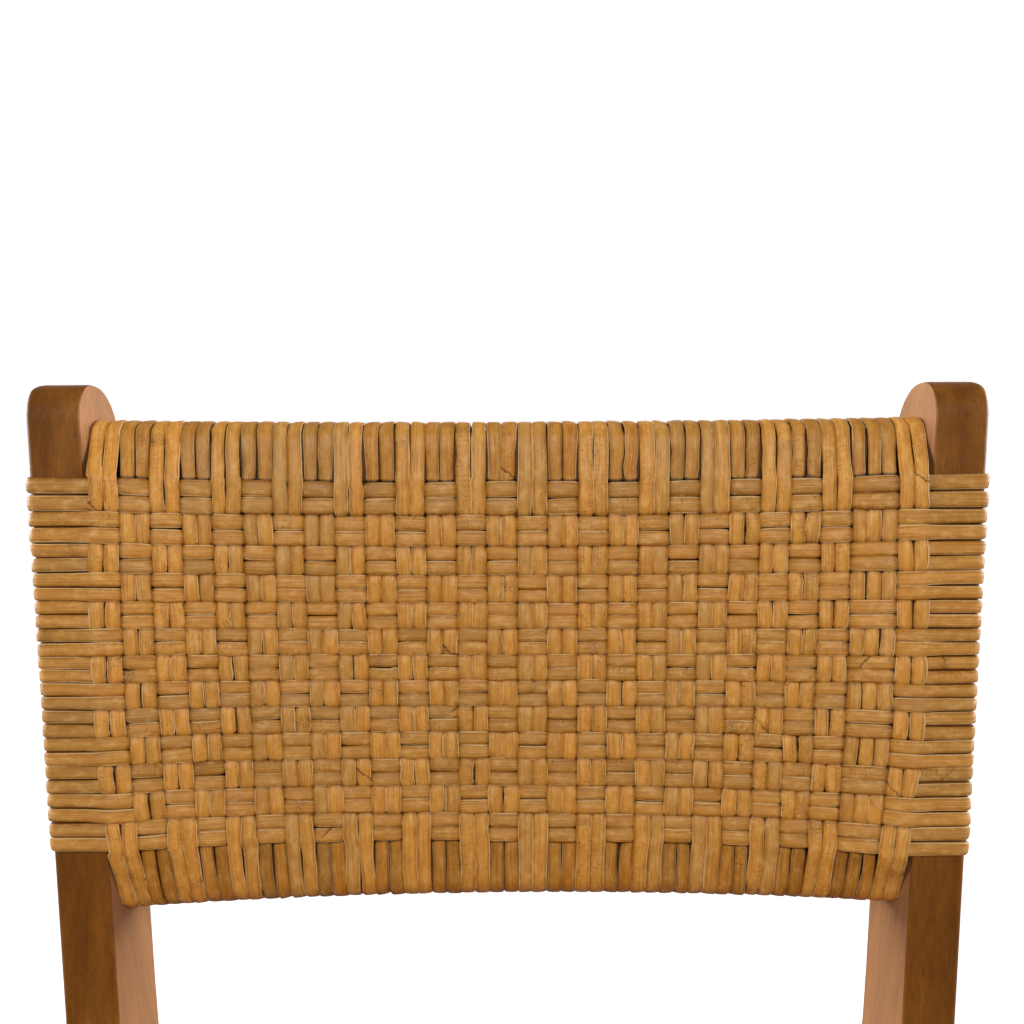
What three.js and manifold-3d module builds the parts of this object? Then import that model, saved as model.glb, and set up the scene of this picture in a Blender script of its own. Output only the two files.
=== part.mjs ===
// Dining chair: a solid wood frame with a back and a seat woven from pairs of rattan strands.
// Millimetres and degrees. +Z is up and the sitter faces -Y. The origin is on the floor, under the middle of
// the chair's bounding box.
import * as THREE from "three";
import { mergeVertices } from "three/addons/utils/BufferGeometryUtils.js";
import Module from "manifold-3d";

const wasm = await Module();
wasm.setup();

// Whole chair
const chairHeight = 850; // floor to the tops of the posts
const backWidth = 480; // outside the posts, at the height of their tops
const seatHeight = 452; // floor to the woven seat, over its rails
const seatDepth = 430; // front faces of the front legs to the front faces of the posts
const recline = 10; // the upper posts lean back
const rake = 7; // the lower posts run back to the floor
const splay = 3.9; // the upper posts open outwards, seen from the front
const footSplay = 1.2; // the legs open outwards to the floor
const toe = 4.5; // the sides of the chair close in towards the rear
const seat = 0.3; // gap between pieces that meet

// Rear legs: each is one plank, foot, seat joint and back post in one
const postWidth = 27;
const postDepth = 47; // square to the leaning part
const postLandDepth = 53; // at the seat rails, where the front face is upright
const postFootWidth = 23;
const postFootDepth = 33;
const postEdge = 3.5; // rounding of the long edges
const bendRise = 38; // the upper bend is this far above the seat
const bendFall = 72; // the lower bend is this far below the seat
const bendBlend = 26; // each bend is rounded this far above and below
const postFrontRound = 19; // rounding of the post's top, seen from the side
const postRearRound = 27;
const postOuterRound = 5; // rounding of the post's top, seen from the front
const postInnerRound = 2.5;

// Front legs
const frontLegWidth = 32;
const frontLegDepth = 32;
const frontFootWidth = 24;
const frontFootDepth = 24;
const frontLegRise = 9; // the rounded top stands this far above the woven seat
const frontLegRound = 7;
const frontLegEdge = 4;
const taperFall = 67; // the front leg tapers from this far below the seat

// Glides under the feet
const glideRadius = 9.5;
const glideHeight = 5;
const glideChamfer = 1.2;
const pinRadius = 1.6;
const pinLength = 13;

// Rattan strands, laid in pairs
const strand = 2.0; // thickness
const crown = 0.5; // a pair that turns over an edge is this much higher along its middle
const bulge = 2.2; // a pair that crosses over another stands this far up

// Back rails, bowed, with a half-round edge that the strands turn over
const backRailThickness = 22;
const backRailHeight = 30;
const backRailReach = 8; // depth of the half-round edge
const backRailSet = 12; // behind the front faces of the posts
const backBow = 21; // the middle of the back lies this far behind its ends
const backTopShare = 0.0543; // of the way from the post tops to the seat's height: the upper rail
const rowTopShare = 0.1236; // the first woven row
const rowBottomShare = 0.59; // the end of the last woven row
const backBottomShare = 0.6523; // the underside of the lower rail
const backColumns = 27;
const backRows = 13;

// Seat rails
const seatRailHeight = 34;
const seatRailThickness = 24; // front and rear
const seatRailReach = 8;
const frontRailSet = 3.5; // behind the front faces of the front legs
const rearRailSet = 12; // behind the front faces of the posts
const sideRailThickness = 22;
const sideRailRound = 5;
const railRound = 3; // the long edges inside the weave
const seatDish = 9; // the woven seat dips this far in the middle
const seatColumns = 21;
const seatRows = 20;

// Stretchers
const stretcherHeight = 28;
const stretcherThickness = 16;
const stretcherRound = 3;
const stretcherLevel = 190; // middle of the stretchers
const crossShare = 0.45; // the cross stretcher's place along the side stretchers

// Loose tenons, round-edged, glued into a mortise in each of the two pieces that meet
const tenonThickness = 8;
const tenonHeight = 12;
const tenonRound = 2.5;
const tenonReach = 15; // into each piece
const tenonStagger = 8; // in a leg, the side rails' tenons sit below the others by twice this
const backTenonHeight = 18;
const crossTenonReach = 8; // the side stretchers are thinner than the legs

// Facets
const edgeSteps = 2; // of a rounded long edge
const endSteps = 4; // of a rounded end
const turnSteps = 3; // of a rail's half-round edge
const columnsPerFacet = 3; // inside the weave, and along a bowed rail
const rowsPerFacet = 5; // inside the dished seat
const glideSides = 12;
const pinSides = 8;

const tan = (angle) => Math.tan(THREE.MathUtils.degToRad(angle));
const leanSin = Math.sin(THREE.MathUtils.degToRad(recline));
const leanCos = Math.cos(THREE.MathUtils.degToRad(recline));
const mix = THREE.MathUtils.lerp;
const point = (x, y, z) => new THREE.Vector3(x, y, z);

// Places that several pieces share. The front legs' front faces are at y = 0 until the chair is centred.
const footLevel = glideHeight + seat; // underside of every leg
const bendHigh = seatHeight + bendRise;
const bendLow = seatHeight - bendFall;
const taperTop = seatHeight - taperFall;
const backRise = chairHeight - seatHeight;
const backTopDrop = backRise * backTopShare; // these four run down along the post from its top
const backBottomDrop = backRise * backBottomShare;
const rowTopDrop = backRise * rowTopShare;
const rowBottomDrop = backRise * rowBottomShare;
const postTopZ = chairHeight + postFrontRound * leanSin; // where the front faces would end unrounded
const postTopY = seatDepth + (postTopZ - bendHigh) * tan(recline);
const landOuter = backWidth / 2 - (postTopZ - bendHigh) * tan(splay);
const sideCentre = landOuter - postWidth / 2 + seatDepth * tan(toe); // of the side frame, at y = 0
const seatRailTop = seatHeight - strand - seat;
const seatRailMiddle = seatRailTop - seatRailHeight / 2;
const rearRailEdge = seatDepth + rearRailSet + seatRailThickness;

// Rises from 0 to t past a bend, rounded over bendBlend on each side of it.
const pastBend = (t) => (Math.abs(t) < bendBlend ? (t + bendBlend) ** 2 / (4 * bendBlend) : Math.max(0, t));
const sideX = (y) => sideCentre - y * tan(toe);

// The outlines of a rear leg and a front leg at height z; their side faces close in towards the rear.
function rearLegAt(z) {
  const down = pastBend(bendLow - z) / (bendLow - footLevel);
  const up = pastBend(z - bendHigh);
  const width = mix(postWidth, postFootWidth, down);
  const front = seatDepth + up * tan(recline) + pastBend(bendLow - z) * tan(rake);
  const above = Math.max(postLandDepth - up * tan(recline), postDepth / leanCos);
  const outer = landOuter + up * tan(splay) + pastBend(bendLow - z) * tan(footSplay);
  return { inner: outer - width, outer, front, depth: mix(above, postFootDepth, down) };
}

function frontLegAt(z) {
  const down = Math.max(0, taperTop - z) / (taperTop - footLevel);
  const width = mix(frontLegWidth, frontFootWidth, down);
  const outer = sideCentre + frontLegWidth / 2 + Math.max(0, taperTop - z) * tan(footSplay);
  return { inner: outer - width, outer, front: 0, depth: mix(frontLegDepth, frontFootDepth, down) };
}

const legMiddle = (legAt, z) => (legAt(z).inner + legAt(z).outer) / 2;
const innerFace = (legAt) => (y, z) => legAt(z).inner - (y - legAt(z).front) * tan(toe);
const rearLegInner = innerFace(rearLegAt);
const frontLegInner = innerFace(frontLegAt);

// A place on the leaning back: drop below the post tops along the post, and depth behind its front face.
const backY = (drop, depth) => postTopY - drop * leanSin + depth * leanCos;
const backZ = (drop, depth) => postTopZ - drop * leanCos - depth * leanSin;
const backBowAt = (share) => backBow * (1 - share * share);

// A place between the posts: share runs from -1 at the left post to 1 at the right one.
function betweenPosts(share, drop, depth) {
  const y = backY(drop, depth);
  const z = backZ(drop, depth);
  return point(share * (rearLegInner(y, z) - seat), y, z);
}

// Shapes and solids

// A closed outline whose corners are [x, y, length of rounding].
function outline(corners) {
  const shape = new THREE.Shape();
  corners.forEach(([x, y, round = 0], i) => {
    const [px, py] = corners.at(i - 1);
    const [nx, ny] = corners[(i + 1) % corners.length];
    const before = round / Math.hypot(px - x, py - y);
    const after = round / Math.hypot(nx - x, ny - y);
    const start = [mix(x, px, before), mix(y, py, before)];
    if (i === 0) shape.moveTo(...start);
    else shape.lineTo(...start);
    if (round > 0) shape.quadraticCurveTo(x, y, mix(x, nx, after), mix(y, ny, after));
  });
  return shape;
}

const oblong = (width, depth, round) =>
  outline([
    [0, 0, round],
    [width, 0, round],
    [width, depth, round],
    [0, depth, round],
  ]);

function centredOblong(width, depth, round) {
  return outline([
    [-width / 2, -depth / 2, round],
    [width / 2, -depth / 2, round],
    [width / 2, depth / 2, round],
    [-width / 2, depth / 2, round],
  ]);
}

// A closed triangle list as a solid with its faces outwards.
function solidFrom(geometry) {
  const bare = geometry.clone();
  bare.deleteAttribute("normal");
  bare.deleteAttribute("uv");
  const merged = mergeVertices(bare);
  const points = merged.getAttribute("position").array;
  const corners = new Uint32Array(merged.index.array);
  const at = (i) => new THREE.Vector3().fromArray(points, corners[i] * 3);
  let volume = 0;
  for (let i = 0; i < corners.length; i += 3) volume += at(i).dot(at(i + 1).cross(at(i + 2)));
  if (volume < 0) corners.reverse();
  return new wasm.Manifold(new wasm.Mesh({ numProp: 3, vertProperties: points, triVerts: corners }));
}

function geometryFrom(solid) {
  const mesh = solid.getMesh();
  const geometry = new THREE.BufferGeometry();
  geometry.setAttribute("position", new THREE.BufferAttribute(new Float32Array(mesh.vertProperties), 3));
  geometry.setIndex(new THREE.BufferAttribute(new Uint32Array(mesh.triVerts), 1));
  return geometry;
}

// A geometry with every point moved by place(x, y, z), as a solid.
function placed(geometry, place) {
  const position = geometry.getAttribute("position");
  for (let i = 0; i < position.count; i++) {
    const to = place(position.getX(i), position.getY(i), position.getZ(i));
    position.setXYZ(i, to.x, to.y, to.z);
  }
  return solidFrom(geometry);
}

const mirrored = (solid) => placed(geometryFrom(solid), (x, y, z) => point(-x, y, z));

// A bar with one section, whose rings are each moved to a station of their own.
function lofted(section, stations, steps = edgeSteps) {
  const last = stations.length - 1;
  const bar = new THREE.ExtrudeGeometry(section, {
    depth: 1,
    steps: last,
    bevelEnabled: false,
    curveSegments: steps,
  });
  return placed(bar, (p, q, share) => stations[Math.round(share * last)](p, q));
}

// Angles of a quarter turn, in equal steps.
const quarter = (steps) => Array.from({ length: steps + 1 }, (_, i) => (i / steps) * (Math.PI / 2));

// How far a rounded corner draws in, at a depth below the end that it rounds.
const drawnIn = (round, drop) => round - Math.sqrt(round ** 2 - Math.max(0, round - drop) ** 2);

// Legs, made for the right-hand side

function rearLeg() {
  const level = (z) => (p, q) => {
    const leg = rearLegAt(z);
    const y = leg.front + (q / postDepth) * leg.depth;
    return point(mix(leg.inner, leg.outer, p / postWidth) - (y - leg.front) * tan(toe), y, z);
  };
  const rounded = (angle) => (p, q) => {
    const share = q / postDepth;
    const drop = mix(postFrontRound, postRearRound, share) * (1 - Math.sin(angle));
    const rearDepth = postDepth - postRearRound * (1 - Math.cos(angle));
    const depth = mix(postFrontRound * (1 - Math.cos(angle)), rearDepth, share);
    const y = backY(drop, depth);
    const z = backZ(drop, depth);
    const outerSide = postWidth - drawnIn(postOuterRound, drop);
    const across = mix(drawnIn(postInnerRound, drop), outerSide, p / postWidth);
    return point(rearLegInner(y, z) + across, y, z);
  };
  const bend = (z) => [z - bendBlend, z, z + bendBlend];
  const levels = [footLevel, ...bend(bendLow), ...bend(bendHigh), bendHigh + postLandDepth];
  const section = oblong(postWidth, postDepth, postEdge);
  return lofted(section, [...levels.map(level), ...quarter(endSteps).map(rounded)]);
}

function frontLeg() {
  const top = seatHeight + frontLegRise;
  const level = (z, inset = 0) => (p, q) => {
    const leg = frontLegAt(z);
    const y = mix(inset, leg.depth - inset, q / frontLegDepth);
    return point(mix(leg.inner + inset, leg.outer - inset, p / frontLegWidth) - y * tan(toe), y, z);
  };
  const rounded = (angle) =>
    level(top - frontLegRound * (1 - Math.sin(angle)), frontLegRound * (1 - Math.cos(angle)));
  const section = oblong(frontLegWidth, frontLegDepth, frontLegEdge);
  return lofted(section, [level(footLevel), level(taperTop), ...quarter(endSteps).map(rounded)]);
}

// A glide: a disc with a pin that is driven up into the foot; grown is the hole's clearance round the pin.
function glidePin(grown) {
  const length = pinLength + grown;
  const pin = new THREE.CylinderGeometry(pinRadius + grown, pinRadius + grown, length, pinSides);
  return pin.rotateX(Math.PI / 2).translate(0, 0, glideHeight + length / 2 - seat);
}

function glide() {
  const corners = [
    [0, 0],
    [glideRadius - glideChamfer, 0],
    [glideRadius, glideChamfer],
    [glideRadius, glideHeight],
    [0, glideHeight],
  ];
  const disc = new THREE.LatheGeometry(corners.map(([x, y]) => new THREE.Vector2(x, y)), glideSides);
  return solidFrom(disc.rotateX(Math.PI / 2)).add(solidFrom(glidePin(0)));
}

function footCentre(legAt) {
  const leg = legAt(footLevel);
  const y = leg.front + leg.depth / 2;
  return point(legMiddle(legAt, footLevel) - (y - leg.front) * tan(toe), y, 0);
}

// Rails and stretchers

const sharesAcross = (count) => Array.from({ length: count + 1 }, (_, i) => (2 * i) / count - 1);

// Half a turn over a half-round edge, from the shown face to the hidden one: [along, deep] from its middle.
function halfTurn(reach, thickness, out) {
  return Array.from({ length: turnSteps + 1 }, (_, i) => {
    const angle = (i / turnSteps) * Math.PI;
    return [Math.sin(angle) * (reach + out), -Math.cos(angle) * (thickness / 2 + out)];
  });
}

// The section of a rail: p runs from its shown face to its hidden one, q from its half-round edge inwards.
function railSection(thickness, height, reach) {
  const edge = halfTurn(reach, thickness, 0).map(([along, deep]) => [thickness / 2 + deep, reach - along]);
  return outline([...edge, [thickness, height, railRound], [0, height, railRound]]);
}

function backRail(edgeDrop, inward) {
  const section = railSection(backRailThickness, backRailHeight, backRailReach);
  const station = (share) => (p, q) =>
    betweenPosts(share, edgeDrop + inward * q, backRailSet + backBowAt(share) + p);
  return lofted(section, sharesAcross(backColumns / columnsPerFacet).map(station));
}

function seatEndRail(edgeY, inward, legInner) {
  const section = railSection(seatRailHeight, seatRailThickness, seatRailReach);
  const station = (share) => (p, q) => {
    const y = edgeY + inward * q;
    const z = seatRailTop - p;
    return point(share * (legInner(y, z) - seat), y, z);
  };
  return lofted(section, [-1, 1].map(station));
}

// A side rail or side stretcher, from the rear face of the front leg to the front face of the rear leg.
function sideBar(thickness, height, round, level) {
  const front = (p, q) => {
    const y = frontLegAt(level + q).depth + seat;
    return point(legMiddle(frontLegAt, level) + p - y * tan(toe), y, level + q);
  };
  const rear = (p, q) => {
    const y = rearLegAt(level + q).front - seat;
    return point(legMiddle(rearLegAt, level) + p, y, level + q);
  };
  return lofted(centredOblong(thickness, height, round), [front, rear]);
}

// The stretchers' middle line, and the cross stretcher's place on it
const stretcherFrontY = frontLegAt(stretcherLevel).depth;
const stretcherRearY = rearLegAt(stretcherLevel).front;
const stretcherFrontX = legMiddle(frontLegAt, stretcherLevel) - stretcherFrontY * tan(toe);
const stretcherRearX = legMiddle(rearLegAt, stretcherLevel);
const crossY = mix(stretcherFrontY, stretcherRearY, crossShare);
const alongStretcher = (y) => (y - stretcherFrontY) / (stretcherRearY - stretcherFrontY);
const stretcherX = (y) => mix(stretcherFrontX, stretcherRearX, alongStretcher(y));
const stretcherInner = (y) => stretcherX(y) - stretcherThickness / 2;

function crossStretcher() {
  const end = (side) => (p, q) =>
    point(side * (stretcherInner(crossY + p) - seat), crossY + p, stretcherLevel + q);
  return lofted(centredOblong(stretcherThickness, stretcherHeight, stretcherRound), [-1, 1].map(end));
}

// Loose tenons: place(p, q, along) gives a point of the joint, with along = 0 on the face where two pieces
// meet. Grown by a clearance, the same shape is the mortise.
function tenon({ place, height = tenonHeight, reach = tenonReach }, grown = 0) {
  const section = centredOblong(tenonThickness + grown + grown, height + grown + grown, tenonRound);
  const end = (way) => (p, q) => place(p, q, way * (reach + grown));
  return lofted(section, [-1, 1].map(end), 1);
}

// A joint on the inner side of a leg at y and z, and one on the face of a leg that a side bar meets.
const sideJoint = (legInner, y, z) => (p, q, along) =>
  point(legInner(y + p, z + q) + along, y + p, z + q);
const backJoint = (drop) => (p, q, along) => {
  const depth = backRailSet + backRailThickness / 2 + p;
  const y = backY(drop + q, depth);
  const z = backZ(drop + q, depth);
  return point(rearLegInner(y, z) + along, y, z);
};
const barJoint = (faceY, xAt, z) => (p, q, along) => {
  const y = faceY(z + q) + along;
  return point(xAt(y) + p, y, z + q);
};
const frontLegRear = (z) => frontLegAt(z).depth;
const rearLegFront = (z) => rearLegAt(z).front;
const frontRailMiddle = frontRailSet + seatRailThickness / 2;
const rearRailMiddle = seatDepth + rearRailSet + seatRailThickness / 2;
const highTenon = seatRailMiddle + tenonStagger;
const lowTenon = seatRailMiddle - tenonStagger;

const joints = {
  back_top: { place: backJoint(backTopDrop + backRailHeight / 2), height: backTenonHeight },
  back_bottom: { place: backJoint(backBottomDrop - backRailHeight / 2), height: backTenonHeight },
  seat_front: { place: sideJoint(frontLegInner, frontRailMiddle, highTenon) },
  seat_back: { place: sideJoint(rearLegInner, rearRailMiddle, highTenon) },
  side_rail_front: { place: barJoint(frontLegRear, sideX, lowTenon) },
  side_rail_rear: { place: barJoint(rearLegFront, sideX, lowTenon) },
  stretcher_front: { place: barJoint(frontLegRear, stretcherX, stretcherLevel) },
  stretcher_rear: { place: barJoint(rearLegFront, stretcherX, stretcherLevel) },
  cross_stretcher: {
    place: (p, q, along) => point(stretcherInner(crossY + p) + along, crossY + p, stretcherLevel + q),
    reach: crossTenonReach,
  },
};

// A right-hand piece with the mortises of its joints; both cuts them at its two ends.
const cut = (solid, names) => names.reduce((rest, name) => rest.subtract(tenon(joints[name], seat)), solid);
const cutBoth = (solid, name) => {
  const mortise = tenon(joints[name], seat);
  return solid.subtract(mortise).subtract(mirrored(mortise));
};

function drilledForGlide(leg, legAt) {
  const { x, y } = footCentre(legAt);
  return leg.subtract(solidFrom(glidePin(seat).translate(x, y, 0)));
}

// Woven rattan

// Collects the triangles of a closed skin.
class Skin {
  points = [];
  flipped = false;

  triangle(a, b, c) {
    const corners = this.flipped ? [c, b, a] : [a, b, c];
    for (const { x, y, z } of corners) this.points.push(x, y, z);
  }

  quad(a, b, c, d) {
    this.triangle(a, b, c);
    this.triangle(a, c, d);
  }

  // A patch folded up along a ridge from p, over edge ab, to q, over edge cd. Its gable ends close it down to
  // those edges.
  tent([a, b, c, d], p, q, gableP = true, gableQ = true) {
    this.quad(a, p, q, d);
    this.quad(p, b, c, q);
    if (gableP) this.triangle(a, b, p);
    if (gableQ) this.triangle(c, d, q);
  }

  solid() {
    const geometry = new THREE.BufferGeometry();
    geometry.setAttribute("position", new THREE.Float32BufferAttribute(this.points, 3));
    return solidFrom(geometry);
  }
}

const midway = (a, b) => a.clone().lerp(b, 1 / 2);

// A woven sleeve. Columns of paired strands run down its shown face, turn over the end edge, run back up the
// hidden face and turn over the start edge. Rows of paired strands cross them, over one column and under the
// next, and wrap round both sides. Faces are functions of (share across, row, height above the inside), turns
// are lists of functions of (share, height), and wrap(side, row, height) lists the places round one side.
function wovenSleeve({ columns, rows, innerRows, shown, hidden, hiddenWoven, endTurn, startTurn, wrap }) {
  const skin = new Skin();
  const shareOf = (column) => (2 * column) / columns - 1;
  const onFace = (face, row) => ({ face, row, at: (share, out) => face(share, row, out) });
  const turning = (at) => ({ at });
  const all = Array.from({ length: rows + 1 }, (_, row) => row);
  const loopOver = (list) => [
    ...list.map((row) => onFace(shown, row)),
    ...endTurn.map(turning),
    ...list.toReversed().map((row) => onFace(hidden, row)),
    ...startTurn.map(turning),
  ];
  const onRows = (from, to) => from.face !== undefined && from.face === to.face;
  const pairsOf = (loop) => loop.map((from, i) => [from, loop[(i + 1) % loop.length]]);

  // Outside
  for (const [from, to] of pairsOf(loopOver(all))) {
    const flat = onRows(from, to) && from.face === hidden && !hiddenWoven;
    for (let column = 0; column < columns && !flat; column++) {
      const [left, right] = [shareOf(column), shareOf(column + 1)];
      const middle = (left + right) / 2;
      const [a, b] = [from.at(left, strand), to.at(left, strand)];
      const [d, c] = [from.at(right, strand), to.at(right, strand)];
      if (!onRows(from, to)) {
        const ridge = [from.at(middle, strand + crown), to.at(middle, strand + crown)];
        skin.tent([d, a, b, c], ...ridge, from.face !== undefined, to.face !== undefined);
      } else if ((column + Math.min(from.row, to.row)) % 2 === 0) {
        const over = (share) => midway(from.at(share, strand + bulge), to.at(share, strand + bulge));
        skin.tent([a, b, c, d], over(left), over(right));
      } else {
        skin.tent([d, a, b, c], from.at(middle, strand + bulge), to.at(middle, strand + bulge));
      }
    }
  }
  if (!hiddenWoven) {
    const edge = [];
    for (let column = columns; column >= 0; column--) edge.push(hidden(shareOf(column), rows, strand));
    for (let row = rows - 1; row >= 0; row--) edge.push(hidden(-1, row, strand));
    for (let column = 1; column <= columns; column++) edge.push(hidden(shareOf(column), 0, strand));
    for (let row = 1; row < rows; row++) edge.push(hidden(1, row, strand));
    for (const [a, b, c] of THREE.ShapeUtils.triangulateShape(edge, [])) {
      const seenFromAbove = edge[b].clone().sub(edge[a]).cross(edge[c].clone().sub(edge[a])).z > 0;
      skin.triangle(edge[a], edge[seenFromAbove ? b : c], edge[seenFromAbove ? c : b]);
    }
  }

  // Inside, and the open ends beside the turns
  const shares = sharesAcross(columns / columnsPerFacet);
  for (const [from, to] of pairsOf(loopOver(innerRows))) {
    for (let i = 1; i < shares.length; i++) {
      const [left, right] = [shares[i - 1], shares[i]];
      skin.quad(from.at(left, 0), from.at(right, 0), to.at(right, 0), to.at(left, 0));
    }
    if (onRows(from, to)) continue;
    for (const side of [-1, 1]) {
      skin.flipped = side < 0;
      skin.quad(from.at(side, strand), to.at(side, strand), to.at(side, 0), from.at(side, 0));
    }
    skin.flipped = false;
  }

  // Rows round the sides
  for (const side of [-1, 1]) {
    skin.flipped = side < 0;
    const places = (row, out) => [shown(side, row, out), ...wrap(side, row, out), hidden(side, row, out)];
    for (let row = 0; row < rows; row++) {
      const [low, high] = [places(row, strand), places(row + 1, strand)];
      const ridge = places(row + 1 / 2, strand + crown);
      for (let i = 1; i < low.length; i++) {
        const corners = [low[i - 1], high[i - 1], high[i], low[i]];
        skin.tent(corners, ridge[i - 1], ridge[i], i === 1, i === low.length - 1);
      }
    }
    for (let k = 1; k < innerRows.length; k++) {
      const [low, high] = [places(innerRows[k - 1], 0), places(innerRows[k], 0)];
      for (let i = 1; i < low.length; i++) skin.quad(low[i - 1], low[i], high[i], high[i - 1]);
    }
    for (const [row, first] of [[0, true], [rows, false]]) {
      const [outer, inner] = [places(row, strand), places(row, 0)];
      for (let i = 1; i < outer.length; i++) {
        const [from, to] = first ? [i - 1, i] : [i, i - 1];
        skin.quad(outer[from], outer[to], inner[to], inner[from]);
      }
    }
  }
  return skin.solid();
}

// The way round the outer side of a bar, between its two faces: [across, deep] from its inner corner.
function roundBar(width, depth, round, out) {
  const way = new THREE.Path().moveTo(width - round, -out);
  way.quadraticCurveTo(width + out, -out, width + out, round);
  way.lineTo(width + out, depth - round);
  way.quadraticCurveTo(width + out, depth + out, width - round, depth + out);
  return way.getPoints(edgeSteps);
}

// The back: between the rows and the rails the strands go back from the posts' faces to the set-back rails.
function backWeave() {
  const rowDrop = (row) => mix(rowTopDrop, rowBottomDrop, row / backRows);
  const gathered = (share) => share ** 4;
  const rearRoom = postDepth - backRailSet - backRailThickness;
  const shown = (share, row, out) => {
    const depth = backRailSet * (1 - gathered(share)) + backBowAt(share) - seat - out;
    return betweenPosts(share, rowDrop(row), depth);
  };
  const hidden = (share, row, out) => {
    const depth = postDepth - rearRoom * (1 - gathered(share)) + backBowAt(share) + seat + out;
    return betweenPosts(share, rowDrop(row), depth);
  };
  const turn = (edgeDrop, outward) =>
    halfTurn(backRailReach, backRailThickness, 0).map((_, i) => (share, out) => {
      const [along, deep] = halfTurn(backRailReach, backRailThickness, seat + out)[i];
      const depth = backRailSet + backRailThickness / 2 + backBowAt(share) + deep;
      return betweenPosts(share, edgeDrop + outward * (along - backRailReach), depth);
    });
  const wrap = (side, row, out) =>
    roundBar(postWidth, postDepth, postEdge, seat + out).map(({ x, y: depth }) => {
      const [y, z] = [backY(rowDrop(row), depth), backZ(rowDrop(row), depth)];
      return point(side * (rearLegInner(y, z) + x), y, z);
    });
  return wovenSleeve({
    columns: backColumns,
    rows: backRows,
    innerRows: [0, backRows],
    shown,
    hidden,
    hiddenWoven: true,
    endTurn: turn(backBottomDrop, 1),
    startTurn: turn(backTopDrop, -1).toReversed(),
    wrap,
  });
}

// The seat: wrapped round all four seat rails and dished in the middle.
function seatWeave() {
  const rowsFront = frontLegDepth + seat;
  const rowsRear = seatDepth - seat;
  const edgeX = (y) => {
    const [front, rear] = [frontLegInner(rowsFront, seatRailTop), rearLegInner(rowsRear, seatRailTop)];
    return mix(front, rear, (y - rowsFront) / (rowsRear - rowsFront)) - seat;
  };
  const rowY = (row) => mix(rowsFront, rowsRear, row / seatRows);
  const dip = (share, row) => seatDish * (1 - share * share) * (1 - (2 * row / seatRows - 1) ** 2);
  const top = seatRailTop + seat;
  const under = seatRailTop - seatRailHeight - seat;
  const shown = (share, row, out) => point(share * edgeX(rowY(row)), rowY(row), top + out - dip(share, row));
  const hidden = (share, row, out) => point(share * edgeX(rowY(row)), rowY(row), under - out);
  const turn = (edgeY, outward, legInner) =>
    halfTurn(seatRailReach, seatRailHeight, 0).map((_, i) => (share, out) => {
      const [along, deep] = halfTurn(seatRailReach, seatRailHeight, seat + out)[i];
      const y = edgeY + outward * (along - seatRailReach);
      return point(share * (legInner(y, seatRailMiddle) - seat), y, seatRailMiddle - deep);
    });
  const wrap = (side, row, out) =>
    roundBar(sideRailThickness, seatRailHeight, sideRailRound, seat + out).map(({ x, y: drop }) => {
      const y = rowY(row);
      return point(side * (sideX(y) - sideRailThickness / 2 + x), y, seatRailTop - drop);
    });
  const innerRows = Array.from({ length: seatRows / rowsPerFacet + 1 }, (_, i) => i * rowsPerFacet);
  return wovenSleeve({
    columns: seatColumns,
    rows: seatRows,
    innerRows,
    shown,
    hidden,
    hiddenWoven: false,
    endTurn: turn(rearRailEdge, 1, rearLegInner),
    startTurn: turn(frontRailSet, -1, frontLegInner).toReversed(),
    wrap,
  });
}

// Materials

const wood = new THREE.MeshStandardMaterial({ color: 0x6e4418, roughness: 0.42, metalness: 0 });
const rattan = new THREE.MeshStandardMaterial({ color: 0xa77335, roughness: 0.6, metalness: 0 });
const beech = new THREE.MeshStandardMaterial({ color: 0xc49a6c, roughness: 0.7, metalness: 0 });
const nylon = new THREE.MeshStandardMaterial({ color: 0x2b2623, roughness: 0.5, metalness: 0 });

// Assembly

const chair = new THREE.Group();

function add(name, solid, material) {
  const mesh = new THREE.Mesh(geometryFrom(solid), material.clone());
  mesh.name = name;
  chair.add(mesh);
}

function addPair(name, solid, material) {
  add(`${name}_right`, solid, material);
  add(`${name}_left`, mirrored(solid), material);
}

const rearLegJoints = ["back_top", "back_bottom", "seat_back", "side_rail_rear", "stretcher_rear"];
const frontLegJoints = ["seat_front", "side_rail_front", "stretcher_front"];
addPair("rear_leg", drilledForGlide(cut(rearLeg(), rearLegJoints), rearLegAt), wood);
addPair("front_leg", drilledForGlide(cut(frontLeg(), frontLegJoints), frontLegAt), wood);

const sideRail = sideBar(sideRailThickness, seatRailHeight, sideRailRound, seatRailMiddle);
const sideStretcher = sideBar(stretcherThickness, stretcherHeight, stretcherRound, stretcherLevel);
const stretcherJoints = ["stretcher_front", "stretcher_rear", "cross_stretcher"];
addPair("seat_side_rail", cut(sideRail, ["side_rail_front", "side_rail_rear"]), wood);
addPair("side_stretcher", cut(sideStretcher, stretcherJoints), wood);

add("seat_front_rail", cutBoth(seatEndRail(frontRailSet, 1, frontLegInner), "seat_front"), wood);
add("seat_rear_rail", cutBoth(seatEndRail(rearRailEdge, -1, rearLegInner), "seat_back"), wood);
add("back_top_rail", cutBoth(backRail(backTopDrop, 1), "back_top"), wood);
add("back_bottom_rail", cutBoth(backRail(backBottomDrop, -1), "back_bottom"), wood);
add("cross_stretcher", cutBoth(crossStretcher(), "cross_stretcher"), wood);

for (const [name, joint] of Object.entries(joints)) addPair(`tenon_${name}`, tenon(joint), beech);

for (const [name, legAt] of [["rear_glide", rearLegAt], ["front_glide", frontLegAt]]) {
  const { x, y } = footCentre(legAt);
  addPair(name, placed(geometryFrom(glide()), (gx, gy, gz) => point(x + gx, y + gy, gz)), nylon);
}

add("back_weave", backWeave(), rattan);
add("seat_weave", seatWeave(), rattan);

const box = new THREE.Box3().setFromObject(chair);
chair.position.y = -(box.min.y + box.max.y) / 2;

const group = new THREE.Group();
group.add(chair);

export default group;
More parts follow.
